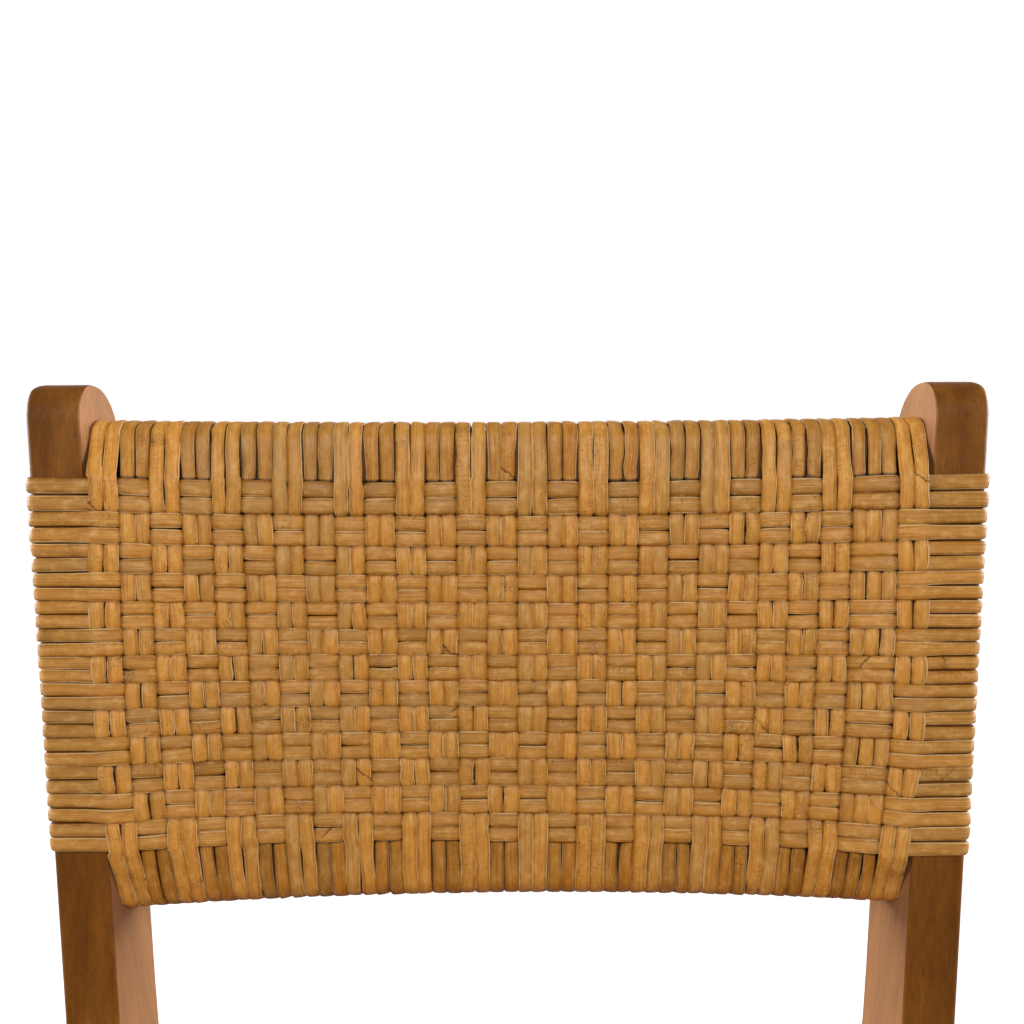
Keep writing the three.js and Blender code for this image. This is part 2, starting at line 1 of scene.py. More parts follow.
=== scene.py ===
# Looks of a dining chair: a stained wood frame, with a back and a seat woven from pairs of rattan strands.
# The sizes are millimetres and degrees, as the part's own are, and become metres where a mesh is made.
# The front legs' front faces are at y = 0 until a mesh is made, which centres the chair.
import math

import bmesh
import bpy
import numpy as np
from mathutils import Matrix, Vector


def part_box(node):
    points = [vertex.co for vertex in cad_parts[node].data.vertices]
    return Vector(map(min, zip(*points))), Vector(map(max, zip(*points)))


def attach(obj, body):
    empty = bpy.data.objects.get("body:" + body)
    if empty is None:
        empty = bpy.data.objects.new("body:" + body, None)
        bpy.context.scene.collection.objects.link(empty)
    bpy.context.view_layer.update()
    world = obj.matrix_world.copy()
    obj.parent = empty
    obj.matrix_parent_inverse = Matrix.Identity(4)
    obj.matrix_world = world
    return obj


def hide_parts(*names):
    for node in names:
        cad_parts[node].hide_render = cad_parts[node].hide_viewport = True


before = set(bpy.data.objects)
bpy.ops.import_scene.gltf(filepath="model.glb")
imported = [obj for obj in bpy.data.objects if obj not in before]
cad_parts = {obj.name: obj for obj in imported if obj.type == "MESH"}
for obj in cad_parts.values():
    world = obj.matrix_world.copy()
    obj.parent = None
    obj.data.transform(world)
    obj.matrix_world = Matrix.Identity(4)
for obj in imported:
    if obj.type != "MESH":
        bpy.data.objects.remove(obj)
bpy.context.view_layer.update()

MM = 0.001
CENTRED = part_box("front_leg_right")[0].y / MM  # from the front legs' front faces to the chair's middle

# Whole chair
CHAIR_HEIGHT = 850
BACK_WIDTH = 480
SEAT_HEIGHT = 452
SEAT_DEPTH = 430
RECLINE = math.radians(10)
RAKE = math.radians(7)
SPLAY = math.radians(3.9)
FOOT_SPLAY = math.radians(1.2)
TOE = math.radians(4.5)
SEAT = 0.3  # gap between pieces that meet, and under a strand that lies on a bar

# Legs
POST_WIDTH = 27
POST_DEPTH = 47
POST_LAND_DEPTH = 53
POST_FOOT_WIDTH = 23
POST_FOOT_DEPTH = 33
POST_EDGE = 3.5
POST_INNER_EDGE = 1.2  # the edges beside the weave are left crisp
BEND_HIGH = SEAT_HEIGHT + 38
BEND_LOW = SEAT_HEIGHT - 72
BEND_BLEND = 26
POST_FRONT_ROUND = 19
POST_REAR_ROUND = 27
POST_OUTER_ROUND = 5
POST_INNER_ROUND = 1.5
FRONT_LEG = 32
FRONT_FOOT = 24
FRONT_LEG_RISE = 9
FRONT_LEG_ROUND = 7
FRONT_LEG_EDGE = 4
TAPER_TOP = SEAT_HEIGHT - 67

# Glides
GLIDE_RADIUS = 9.5
GLIDE_HEIGHT = 5
GLIDE_EDGE = 1.2
PIN_RADIUS = 1.6
PIN_LENGTH = 13

# Rails and stretchers
BACK_RAIL_THICKNESS = 22
BACK_RAIL_REACH = 8
BACK_RAIL_SET = 12
BACK_BOW = 21
BACK_RISE = CHAIR_HEIGHT - SEAT_HEIGHT
BACK_TOP_DROP = BACK_RISE * 0.0543
ROW_TOP_DROP = BACK_RISE * 0.1236
ROW_BOTTOM_DROP = BACK_RISE * 0.59
BACK_BOTTOM_DROP = BACK_RISE * 0.6523
SEAT_RAIL_HEIGHT = 34
SEAT_RAIL_REACH = 8
FRONT_RAIL_SET = 3.5
REAR_RAIL_SET = 12
END_RAIL_THICKNESS = 24
SIDE_RAIL_THICKNESS = 22
SIDE_RAIL_ROUND = 5
SEAT_DISH = 9
STRETCHER_HEIGHT = 28
STRETCHER_THICKNESS = 16
STRETCHER_ROUND = 3
STRETCHER_LEVEL = 190
CROSS_SHARE = 0.45

# Rattan
CAD_STRAND = 2  # a strand's thickness in the CAD, which sets how far the seat rails lie below the seat
STRAND = 2.2  # a strand's thickness here
CROWN = 1.36  # the part of the thickness on the skin's side
BACK_STRAND = 7.45  # width
SEAT_ROOM_SHARE = 0.96  # width of an upright seat strand, as a share of its room
ROW_ROOM_SHARE = 0.985  # and of a row strand, as a share of its room
HUG_SHARE = 0.975  # the strands of a pair lie this share of their width apart, middle to middle
BACK_PAIRS = [2] * 25 + [3, 2]  # strands in each upright pair, one of them a triple
BACK_ROWS = 13
SEAT_PAIRS = [2] * 21
SEAT_ROWS = 20

# Hand weaving leaves the strands a little loose and askew
TOP_SLACK = 2  # how far the strands stand off over the back's upper rail
BOTTOM_SLACK = 2.8  # and under its lower one
SIDE_SAG = 4.6  # the upper rows lie this far lower than even spacing would put them, at the posts
MIDDLE_SAG = 1.5  # and this much more in the middle
ROW_LIFT = 1.6  # the rows end this far higher at the posts than they were set out
ROW_SKEW = 2.6  # the lowest row lies this far lower than level at the right post
PAIR_SPREAD = 12  # the upright pairs crowd together towards the posts
OUTER_ROOM = 11  # and the outermost of them crowd less
SWAY_ROWS = (0, 2.5, 5, 8.5, 11, 13)
LEFT_SWAY = (3.4, 0.8, -1.2, -1.9, -0.3, 1)  # the outermost pairs sway inwards this far on those rows
RIGHT_SWAY = (3.4, 0.8, -1.2, -1.9, 0.6, 3.6)
FACE_WIDTH_SHARE = 0.98  # an upright strand's width on the back's faces, as a share of its full width
TURN_SWELL_SHARE = 0.1  # and how much wider it is where it turns over a back rail
REAR_ROW_SHIFT = 0.5  # the rows of the rear face lie this many rows lower
REAR_PAIR_SHIFT = 0.018  # and its pairs this far to the right, as a share of half the back's width
WRAP_SINK = 0.5  # how much further the strands press in where they wrap a bar

# How finely the pieces are made, which is finer than the part's own facets
EDGE_STEPS = 5
BEND_STEPS = 8
CROWN_STEPS = 14
TURN_STEPS = 6
WRAP_STEPS = 3
WRAP_LAP_SHARE = 0.3  # where the way round a bar begins and ends, as a share of the bar's width
BACK_STRAND_SIDES = 12
SEAT_STRAND_SIDES = 10
GLIDE_SIDES = 40
GLIDE_SHARP_ANGLE = math.radians(40)
FLAT_FACE_WEIGHT = 80  # how far a bar's flat faces rule the shading of its round edges
CROSSING_SHARES = (0, 0.12, 0.28, 0.72, 0.88)  # a strand's points on each crossing of the shown face
REAR_CROSSING_SHARES = (0, 0.22, 0.5, 0.78)
FRINGE_SHARES = (0.06, 0.3, 0.65)  # and on its way from the last row to the rail

# Camera, from the middle of the line between the post tops
CAMERA_ASIDE = -4
CAMERA_AWAY = 575.3
CAMERA_BELOW = 74.45
CAMERA_PITCH = math.radians(-0.87)
CAMERA_YAW = math.radians(0.51)
CAMERA_ROLL = math.radians(-0.28)
CAMERA_LENS = 41.05
CAMERA_SENSOR = 36
CAMERA_NEAR = 50

# Studio, in metres, watts and shader strengths
FLOOR_REACH = 30
FLOOR_GLOW = 0.5
BACKDROP_SEEN = 1.05
FRONT_LIGHT = 0.03
BEHIND_LIGHT = 1.3
SIDE_LIGHT = 19
OVERHEAD_SHADE = 0.92
LAMP_SIZE = 0.8
LAMP_POWER = 46.5
LAMP_PLACE = (0, -1.75, 2.15)
LAMP_AIM = (0, 0, 0.7)

LEAN_SIN = math.sin(RECLINE)
LEAN_COS = math.cos(RECLINE)
FOOT_LEVEL = GLIDE_HEIGHT + SEAT
POST_TOP_Z = CHAIR_HEIGHT + POST_FRONT_ROUND * LEAN_SIN
POST_TOP_Y = SEAT_DEPTH + (POST_TOP_Z - BEND_HIGH) * math.tan(RECLINE)
LAND_OUTER = BACK_WIDTH / 2 - (POST_TOP_Z - BEND_HIGH) * math.tan(SPLAY)
SIDE_CENTRE = LAND_OUTER - POST_WIDTH / 2 + SEAT_DEPTH * math.tan(TOE)
SEAT_RAIL_TOP = SEAT_HEIGHT - CAD_STRAND - SEAT
SEAT_RAIL_MIDDLE = SEAT_RAIL_TOP - SEAT_RAIL_HEIGHT / 2
REAR_RAIL_EDGE = SEAT_DEPTH + REAR_RAIL_SET + END_RAIL_THICKNESS


def mix(a, b, share):
    return a + (b - a) * share


def places(x, y, z):
    """Rows of x, y and z, as long as the longest of them."""
    return np.stack(np.broadcast_arrays(x, y, z), axis=-1).astype(float)


def unit(rows):
    return rows / np.linalg.norm(rows, axis=-1, keepdims=True)


# Where the legs' faces are

def past_bend(t):
    """Rises from 0 to t past a bend, rounded over BEND_BLEND on each side of it."""
    near = (t + BEND_BLEND) ** 2 / (4 * BEND_BLEND)
    return np.where(np.abs(t) < BEND_BLEND, near, np.maximum(0, t))


def rear_leg_at(z):
    down = past_bend(BEND_LOW - z) / (BEND_LOW - FOOT_LEVEL)
    up = past_bend(z - BEND_HIGH)
    width = mix(POST_WIDTH, POST_FOOT_WIDTH, down)
    front = SEAT_DEPTH + up * math.tan(RECLINE) + past_bend(BEND_LOW - z) * math.tan(RAKE)
    above = np.maximum(POST_LAND_DEPTH - up * math.tan(RECLINE), POST_DEPTH / LEAN_COS)
    outer = LAND_OUTER + up * math.tan(SPLAY) + past_bend(BEND_LOW - z) * math.tan(FOOT_SPLAY)
    depth = mix(above, POST_FOOT_DEPTH, down)
    return {"inner": outer - width, "outer": outer, "front": front, "depth": depth}


def front_leg_at(z):
    fall = np.maximum(0, TAPER_TOP - z)
    width = mix(FRONT_LEG, FRONT_FOOT, fall / (TAPER_TOP - FOOT_LEVEL))
    outer = SIDE_CENTRE + FRONT_LEG / 2 + fall * math.tan(FOOT_SPLAY)
    return {"inner": outer - width, "outer": outer, "front": 0 * z, "depth": width}


def inner_face(leg_at, y, z):
    leg = leg_at(z)
    return leg["inner"] - (y - leg["front"]) * math.tan(TOE)


def leg_middle(leg_at, z):
    leg = leg_at(z)
    return (leg["inner"] + leg["outer"]) / 2


def back_y(drop, depth):
    return POST_TOP_Y - drop * LEAN_SIN + depth * LEAN_COS


def back_z(drop, depth):
    return POST_TOP_Z - drop * LEAN_COS - depth * LEAN_SIN


def between_posts(share, drop, depth):
    """A place on the leaning back; share runs from -1 at the left post to 1 at the right one."""
    y = back_y(drop, depth)
    z = back_z(drop, depth)
    return places(share * (inner_face(rear_leg_at, y, z) - SEAT), y, z)


# The woven sleeves. Both answer the same calls: shown and hidden give places on the two faces, start_turn
# and end_turn on the turns over the two rails, and wrap on the way round the bar at a side. share runs from
# -1 at the left to 1 at the right, row counts the pairs of rows, and out is the height above the sleeve's
# inside.

def bar_wrap(width, depth, edge):
    """The way round a bar's outer side: where it touches the bar, and the way out from there."""
    way = [(WRAP_LAP_SHARE * width, 0, 0, -1)]
    for centre, start in (((width - edge, edge), 0), ((width - edge, depth - edge), math.pi / 2)):
        for step in range(WRAP_STEPS + 1):
            angle = start + step / WRAP_STEPS * math.pi / 2
            across = centre[0] + edge * math.sin(angle)
            deep = centre[1] - edge * math.cos(angle)
            way.append((across, deep, math.sin(angle), -math.cos(angle)))
    way.append((WRAP_LAP_SHARE * width, depth, 0, 1))
    return np.array(way).T


def half_turn(reach, thickness, angle, out):
    """How far over an edge, and how deep, a place on the turn round a half-round edge is."""
    return np.sin(angle) * (reach + out), -np.cos(angle) * (thickness / 2 + out)


class BackSleeve:
    """The woven back between the rear legs' posts; its rows count from the top."""

    pairs = BACK_PAIRS
    rows = BACK_ROWS
    row_pitch = (ROW_BOTTOM_DROP - ROW_TOP_DROP) / BACK_ROWS
    strand_width = BACK_STRAND
    row_strand_width = row_pitch / 2 * ROW_ROOM_SHARE
    sides = BACK_STRAND_SIDES
    way = bar_wrap(POST_WIDTH, POST_DEPTH, POST_EDGE)

    def bow(self, share):
        return BACK_BOW * (1 - share**2)

    def drop(self, share, row):
        """How far below the post tops a row lies; the rows sag most a quarter of the way down."""
        part = np.clip(row / BACK_ROWS, 0, 1)
        high_up = 256 / 27 * part * (1 - part) ** 3  # 1 at a quarter of the way
        sag = (SIDE_SAG + MIDDLE_SAG * (1 - share**2)) * high_up - ROW_LIFT * share**2
        return mix(ROW_TOP_DROP, ROW_BOTTOM_DROP, row / BACK_ROWS) + sag + ROW_SKEW * part * share

    def pitch(self, share, row):
        """The room for a pair of rows, in millimetres."""
        return self.drop(share, row + 1 / 2) - self.drop(share, row - 1 / 2)

    def spread(self, share, row):
        """The share across, with the pairs crowded and swayed."""
        left, right = (np.interp(row, SWAY_ROWS, sway) for sway in (LEFT_SWAY, RIGHT_SWAY))
        shift = PAIR_SPREAD * share * (1 - share**2) - np.where(share < 0, left, right) * share**7
        return share + shift / self.half_width(row)

    def shown(self, share, row, out):
        depth = BACK_RAIL_SET * (1 - share**4) + self.bow(share) - SEAT - out
        return between_posts(self.spread(share, row), self.drop(share, row), depth)

    def hidden(self, share, row, out):
        room = POST_DEPTH - BACK_RAIL_SET - BACK_RAIL_THICKNESS
        depth = POST_DEPTH - room * (1 - share**4) + self.bow(share) + SEAT + out
        shifted = self.spread(share, row) + REAR_PAIR_SHIFT * (1 - share**2)
        return between_posts(shifted, self.drop(share, row + REAR_ROW_SHIFT * (1 - share**4)), depth)

    def turn(self, share, angle, out, edge_drop, outward):
        along, deep = half_turn(BACK_RAIL_REACH, BACK_RAIL_THICKNESS, angle, SEAT + out)
        depth = BACK_RAIL_SET + BACK_RAIL_THICKNESS / 2 + self.bow(share) + deep
        drop = edge_drop + outward * (along - BACK_RAIL_REACH)
        return between_posts(share + PAIR_SPREAD * share * (1 - share**2) / self.half_width(0), drop, depth)

    def start_turn(self, share, angle, out):
        return self.turn(share, angle, out, BACK_TOP_DROP - TOP_SLACK, -1)

    def end_turn(self, share, angle, out):
        return self.turn(share, angle, out, BACK_BOTTOM_DROP + BOTTOM_SLACK, 1)

    def wrap(self, side, row, out):
        across, deep, way_across, way_deep = self.way
        drop = self.drop(side, row)
        away = SEAT + out - WRAP_SINK
        depth = deep + way_deep * away
        y = back_y(drop, depth)
        z = back_z(drop, depth)
        return places(side * (inner_face(rear_leg_at, y, z) + across + way_across * away), y, z)

    def half_width(self, row):
        drop = mix(ROW_TOP_DROP, ROW_BOTTOM_DROP, row / BACK_ROWS)
        return inner_face(rear_leg_at, back_y(drop, 0), back_z(drop, 0)) - SEAT

    def spacing(self, row):
        """Middle to middle of two upright strands in a pair."""
        return BACK_STRAND * HUG_SHARE + 0 * row

    def room(self, share):
        """The room for an upright strand, against the mean of them all."""
        gained = PAIR_SPREAD * (1 - 3 * share**2) + OUTER_ROOM * share**6
        return 1 + gained / self.half_width(BACK_ROWS / 2)

    def girth(self, position):
        """How wide an upright strand is, as a share; it spreads where it turns over a rail."""
        beyond = np.maximum(-position, position - BACK_ROWS)
        return FACE_WIDTH_SHARE + TURN_SWELL_SHARE * np.clip(2 * beyond - 1, 0, 1)


class SeatSleeve:
    """The woven seat between the side rails; its rows count from the front."""

    pairs = SEAT_PAIRS
    rows = SEAT_ROWS
    way = bar_wrap(SIDE_RAIL_THICKNESS, SEAT_RAIL_HEIGHT, SIDE_RAIL_ROUND)
    first_y = FRONT_LEG + SEAT
    last_y = SEAT_DEPTH - SEAT
    row_pitch = (last_y - first_y) / SEAT_ROWS
    row_strand_width = row_pitch / 2 * ROW_ROOM_SHARE
    sides = SEAT_STRAND_SIDES

    def __init__(self):
        self.strand_width = self.spacing(0) / HUG_SHARE

    def y(self, row):
        return mix(self.first_y, self.last_y, row / SEAT_ROWS)

    def half_width(self, row):
        front = inner_face(front_leg_at, self.first_y, SEAT_RAIL_TOP)
        rear = inner_face(rear_leg_at, self.last_y, SEAT_RAIL_TOP)
        return mix(front, rear, row / SEAT_ROWS) - SEAT

    def spacing(self, row):
        """Middle to middle of two upright strands in a pair."""
        return self.half_width(row) / len(SEAT_PAIRS) * SEAT_ROOM_SHARE * HUG_SHARE

    def room(self, share):
        return 1

    def girth(self, position):
        row = np.clip(position, 0, SEAT_ROWS)
        return self.half_width(row) / self.half_width(0)

    def pitch(self, share, row):
        return self.row_pitch + 0 * share * row

    def shown(self, share, row, out):
        dip = SEAT_DISH * (1 - share**2) * (1 - (2 * row / SEAT_ROWS - 1) ** 2)
        return places(share * self.half_width(row), self.y(row), SEAT_RAIL_TOP + SEAT + out - dip)

    def hidden(self, share, row, out):
        under = SEAT_RAIL_TOP - SEAT_RAIL_HEIGHT - SEAT
        return places(share * self.half_width(row), self.y(row), under - out)

    def turn(self, share, angle, out, edge, outward, leg_at):
        along, deep = half_turn(SEAT_RAIL_REACH, SEAT_RAIL_HEIGHT, angle, SEAT + out)
        y = edge + outward * (along - SEAT_RAIL_REACH)
        half_width = inner_face(leg_at, y, SEAT_RAIL_MIDDLE) - SEAT
        return places(share * half_width, y, SEAT_RAIL_MIDDLE - deep)

    def start_turn(self, share, angle, out):
        return self.turn(share, angle, out, FRONT_RAIL_SET, -1, front_leg_at)

    def end_turn(self, share, angle, out):
        return self.turn(share, angle, out, REAR_RAIL_EDGE, 1, rear_leg_at)

    def wrap(self, side, row, out):
        across, deep, way_across, way_deep = self.way
        y = self.y(row)
        inner = SIDE_CENTRE - y * math.tan(TOE) - SIDE_RAIL_THICKNESS / 2
        x = inner + across + way_across * (SEAT + out)
        return places(side * x, y, SEAT_RAIL_TOP - deep - way_deep * (SEAT + out))


# The strands' ways through the weave

CROSSING_STEEPNESS = 2  # how quickly a strand passes from low to high
WANDER = 0.22  # sideways unevenness of a strand
WAVES = (3, 26, 6)  # an unevenness has six waves, each with 3 to 25 crests
RAGGED_SHARE = 0.25  # of the strands are badly split
RAGGED_WANDER = 0.18  # sideways unevenness of such a strand's points
RAGGED_SWELL_SHARE = 0.045  # and unevenness of its width
SWELL_SHARE = 0.02  # unevenness of any strand's width
PILLOW_SHARE = 0.06  # a strand is this much wider where it crosses over, and narrower where it dives
TILT = math.radians(4)
LIFT_UNEVENNESS = 0.07
LYING_LOW = -0.9  # a strand this low is covered
SEAM_SHARE = 0.7  # how far along its loop a strand's skin pattern may start and end
PROBE = 0.05  # a small step along or across a surface, for its slope

# A strand's level past an end that it reaches crossing over: an upright one stays up on its way to the rail
UPRIGHT_LEVEL_OUTSIDE = 1
ROW_LEVEL_OUTSIDE = -1

# Shade past a face's first row and its last one
EDGE_COVER = 0.1  # how many rows past them an upright strand comes out of the shade
UPRIGHT_EDGE_LIGHT = 0.4  # how far out of it the strand is at their edges
FRINGE_SHADE = (0.56, 0.72)  # the light that is lost above and below, by strands that come from under a row
FRINGE_SPREAD = (0.85, 0.55)  # how far the pairs part again on their way to the upper and the lower rail


def crossing_level(cell, index, crossings, outside):
    """1 where a strand crosses over and -1 where it goes under; beyond an end where it is over, outside."""
    over = 1 - 2 * ((np.clip(cell, 0, crossings - 1) + index) % 2)
    inside = (cell >= 0) & (cell < crossings)
    return np.where(inside | (over < 0), over, outside)


def crossing_height(position, index, crossings, outside):
    """From -1 where a strand lies low to 1 where it crosses over; position counts the crossings passed."""
    cell = np.floor(position - 1 / 2)
    low = crossing_level(cell, index, crossings, outside)
    high = crossing_level(cell + 1, index, crossings, outside)
    steep = np.clip(CROSSING_STEEPNESS * (2 * (position - 1 / 2 - cell) - 1), -1, 1)
    height = mix(low, high, (1 + steep * (3 - steep**2) / 2) / 2)
    beyond = np.clip(np.maximum(-position, position - crossings), 0, 1)
    return mix(height, -1, beyond)


def crossings_passed(count, shares):
    """The positions of a strand's points over a face, from the first crossing's edge to the last one's."""
    return np.append((np.arange(count)[:, None] + np.array(shares)).ravel(), count)


def uneven(rng, count, amount):
    """A smooth unevenness that closes on itself."""
    turns = np.arange(count) / count * 2 * math.pi
    waves = rng.integers(*WAVES)
    phases = rng.uniform(0, 2 * math.pi, len(waves))
    total = sum(np.sin(wave * turns + phase) for wave, phase in zip(waves, phases))
    return amount * total / math.sqrt(len(waves) / 2)


def fringe(face, row, turn, angle):
    """The stretch between a face's outermost row and the turn over the rail."""
    def place(share, part, out):
        on_face = face(share, row + 0 * part, out)
        on_turn = turn(share, angle + 0 * part, out)
        return mix(on_face, on_turn, part[:, None])

    return place


def upright_sections(sleeve):
    """Stretches of an upright strand's loop: how it is placed, its points, and its position for each."""
    last = sleeve.rows
    shown = crossings_passed(last, CROSSING_SHARES)
    hidden = crossings_passed(last, REAR_CROSSING_SHARES)[::-1]
    out_part = np.array(FRINGE_SHARES)
    back_part = out_part[::-1]
    turn = np.linspace(0, math.pi, TURN_STEPS + 1)
    return [
        (sleeve.shown, shown, shown),
        (fringe(sleeve.shown, last, sleeve.end_turn, 0), out_part, last + out_part),
        (sleeve.end_turn, turn, last + 1 + 0 * turn),
        (fringe(sleeve.hidden, last, sleeve.end_turn, math.pi), back_part, last + back_part),
        (sleeve.hidden, hidden, hidden),
        (fringe(sleeve.hidden, 0, sleeve.start_turn, math.pi), out_part, -out_part),
        (sleeve.start_turn, turn[::-1], -1 + 0 * turn),
        (fringe(sleeve.shown, 0, sleeve.start_turn, 0), back_part, -back_part),
    ]


def row_sections(sleeve):
    """Stretches of a row strand's ring."""
    count = len(sleeve.pairs)
    edges = np.cumsum([0, *sleeve.pairs]) / sum(sleeve.pairs) * 2 - 1
    shown = crossings_passed(count, CROSSING_SHARES)
    hidden = crossings_passed(count, REAR_CROSSING_SHARES)[::-1]
    share_at = lambda position: np.interp(position, np.arange(count + 1), edges)
    right = np.arange(sleeve.way.shape[1])
    left = right[::-1]
    return [
        (lambda row, share, out: sleeve.shown(share, row, out), share_at(shown), shown),
        (lambda row, step, out: sleeve.wrap(1, row, out)[step], right, count + 1 + 0 * right),
        (lambda row, share, out: sleeve.hidden(share, row, out), share_at(hidden), hidden),
        (lambda row, step, out: sleeve.wrap(-1, row[::-1], out[::-1])[step], left, -1 + 0 * left),
    ]


class Strands:
    """Collects strands' paths as a mesh of edges, with what each point needs to be swept and coloured."""

    def __init__(self, seed):
        self.rng = np.random.default_rng(seed)
        self.points = []
        self.lays = []
        self.alongs = []
        self.girths = []
        self.rises = []
        self.numbers = []

    def lay(self, sections, across_at, per_mm, girth_at, index, crossings, outside, edge_light, shade):
        """Adds one closed strand.

        At each position, across_at gives its place across the weave and girth_at its width; a millimetre
        across is per_mm there. Past the ends of a face, outside is its level, and edge_light and shade are
        how its skin comes out of the shade.
        """
        position = np.concatenate([passed for _, _, passed in sections]).astype(float)
        count = len(position)
        ragged = self.rng.uniform() < RAGGED_SHARE
        across = across_at(position) + uneven(self.rng, count, WANDER) * per_mm
        across += self.rng.normal(0, ragged * RAGGED_WANDER, count) * per_mm
        height = crossing_height(position, index, crossings, outside)
        out = STRAND - CROWN + STRAND * (1 + height) / 2
        out += np.abs(uneven(self.rng, count, LIFT_UNEVENNESS))
        cuts = np.cumsum([len(points) for _, points, _ in sections])[:-1]

        def at(shift, rise):
            stretches = zip(sections, np.split(across + shift, cuts), np.split(out + rise, cuts))
            laid = [place(beside, points, up) for (place, points, _), beside, up in stretches]
            return np.concatenate(laid)

        centre = at(0, 0)
        forward = unit(np.roll(centre, -1, axis=0) - np.roll(centre, 1, axis=0))
        outward = at(0, PROBE) - centre
        sideways = at(PROBE * per_mm, 0) - centre
        normal = unit(np.cross(forward, sideways))
        normal *= np.sign(np.sum(normal * outward, axis=1, keepdims=True))
        tilt = uneven(self.rng, count, TILT)[:, None]
        lay = normal * np.cos(tilt) + np.cross(forward, normal) * np.sin(tilt)
        steps = np.linalg.norm(np.roll(centre, -1, axis=0) - centre, axis=1)
        girth = girth_at(position) * (1 + uneven(self.rng, count, SWELL_SHARE))
        girth = girth * self.rng.normal(1, SWELL_SHARE)
        girth *= 1 + PILLOW_SHARE * height + self.rng.normal(0, ragged * RAGGED_SWELL_SHARE, count)

        # The ends of the strand's skin pattern meet behind, under a crossing.
        low = np.flatnonzero(height < LYING_LOW)
        start = low[np.argmin(np.abs(low - SEAM_SHARE * count))]
        order = np.roll(np.arange(count), -start)
        self.points.append(centre[order])
        self.lays.append(lay[order])
        self.girths.append(girth[order])
        beyond = np.maximum(-position, position - crossings)
        uncovered = np.where(beyond < 0, 0, np.clip(edge_light + beyond / EDGE_COVER, 0, 1))
        under = crossing_level(np.floor(position), index, crossings, 1) < 0
        shade = np.where(position < 0, *shade) * under
        # rise is the crossing height, and past a face's ends it also carries painted shade for the strands
        # that come from under a row; the skin's finish paints shade and highlights from it
        self.rises.append(mix(height, 1 - shade, uncovered)[order])
        self.alongs.append(np.concatenate([[0], np.cumsum(steps[order])[:-1]]))
        self.numbers.append(np.full(count, self.rng.uniform()))

    def mesh(self, name):
        """The paths as an object in metres, with the chair centred."""
        edges = []
        start = 0
        for points in self.points:
            count = len(points)
            edges += [(start + i, start + (i + 1) % count) for i in range(count)]
            start += count
        mesh = bpy.data.meshes.new(name)
        mesh.from_pydata(in_metres(np.concatenate(self.points)).tolist(), edges, [])
        facts = {"along": self.alongs, "girth": self.girths, "rise": self.rises, "strand": self.numbers}
        for fact, rows in facts.items():
            values = np.concatenate(rows)
            mesh.attributes.new(fact, "FLOAT", "POINT").data.foreach_set("value", values)
        lays = np.concatenate(self.lays).ravel()
        mesh.attributes.new("lay", "FLOAT_VECTOR", "POINT").data.foreach_set("vector", lays)
        return new_object(name, mesh)


def in_metres(points):
    return (np.asarray(points, float) + (0, CENTRED, 0)) * MM


def new_object(name, mesh):
    made = bpy.data.objects.new(name, mesh)
    bpy.context.scene.collection.objects.link(made)
    return made


def upright_strands(name, sleeve, seed):
    strands = Strands(seed)
    sections = upright_sections(sleeve)
    past_ends = (UPRIGHT_LEVEL_OUTSIDE, UPRIGHT_EDGE_LIGHT, FRINGE_SHADE)
    per_mm = 1 / sleeve.half_width(sleeve.rows / 2)
    total = sum(sleeve.pairs)
    number = 0
    for index, members in enumerate(sleeve.pairs):
        pair_middle = (2 * number + members) / total - 1
        room = sleeve.room(pair_middle)
        for member in range(members):
            even = (2 * number + 1) / total - 1
            beside = member - (members - 1) / 2

            def across_at(position, even=even, beside=beside, pair_middle=pair_middle):
                row = np.clip(position, 0, sleeve.rows)
                hugged = pair_middle + beside * sleeve.spacing(row) / sleeve.half_width(row)
                return mix(hugged, even, np.where(position < 0, *FRINGE_SPREAD) * np.abs(position - row))

            girth_at = lambda position, room=room: sleeve.girth(position) * room
            strands.lay(sections, across_at, per_mm, girth_at, index, sleeve.rows, *past_ends)
            number += 1
    return strands.mesh(name)


def row_strands(name, sleeve, seed):
    strands = Strands(seed)
    sections = row_sections(sleeve)
    past_ends = (ROW_LEVEL_OUTSIDE, 1, (0, 0))
    per_mm = 1 / sleeve.row_pitch
    for index in range(sleeve.rows):
        for beside in (-0.5, 0.5):
            middle = index + 1 / 2
            room = sleeve.pitch(1, middle)

            def across_at(position, beside=beside, middle=middle, room=room):
                share = np.clip(2 * position / len(sleeve.pairs) - 1, -1, 1)
                return middle + beside * room / 2 / sleeve.pitch(share, middle)

            girth_at = lambda position, room=room: room / sleeve.row_pitch + 0 * position
            strands.lay(sections, across_at, per_mm, girth_at, index + 1, len(sleeve.pairs), *past_ends)
    return strands.mesh(name)


# Node trees

def worked(operation, turned=False):
    """An operator of Output, as a Math node; turned, the output that it belongs to comes second."""
    def work(self, *others):
        values = (self, *others)
        numbered = dict(enumerate(values[::-1] if turned else values))
        return self.tree.node("ShaderNodeMath", {"operation": operation}, numbered)

    return work


class Output:
    """An output of a node; arithmetic on it adds Math nodes to its tree."""

    def __init__(self, tree, socket):
        self.tree = tree
        self.socket = socket

    __add__ = worked("ADD")
    __radd__ = worked("ADD", turned=True)
    __sub__ = worked("SUBTRACT")
    __rsub__ = worked("SUBTRACT", turned=True)
    __mul__ = worked("MULTIPLY")
    __rmul__ = worked("MULTIPLY", turned=True)
    __truediv__ = worked("DIVIDE")
    __pow__ = worked("POWER")
    __lt__ = worked("LESS_THAN")
    __abs__ = worked("ABSOLUTE")
    sign = worked("SIGN")
    floor = worked("FLOOR")
    fraction = worked("FRACT")


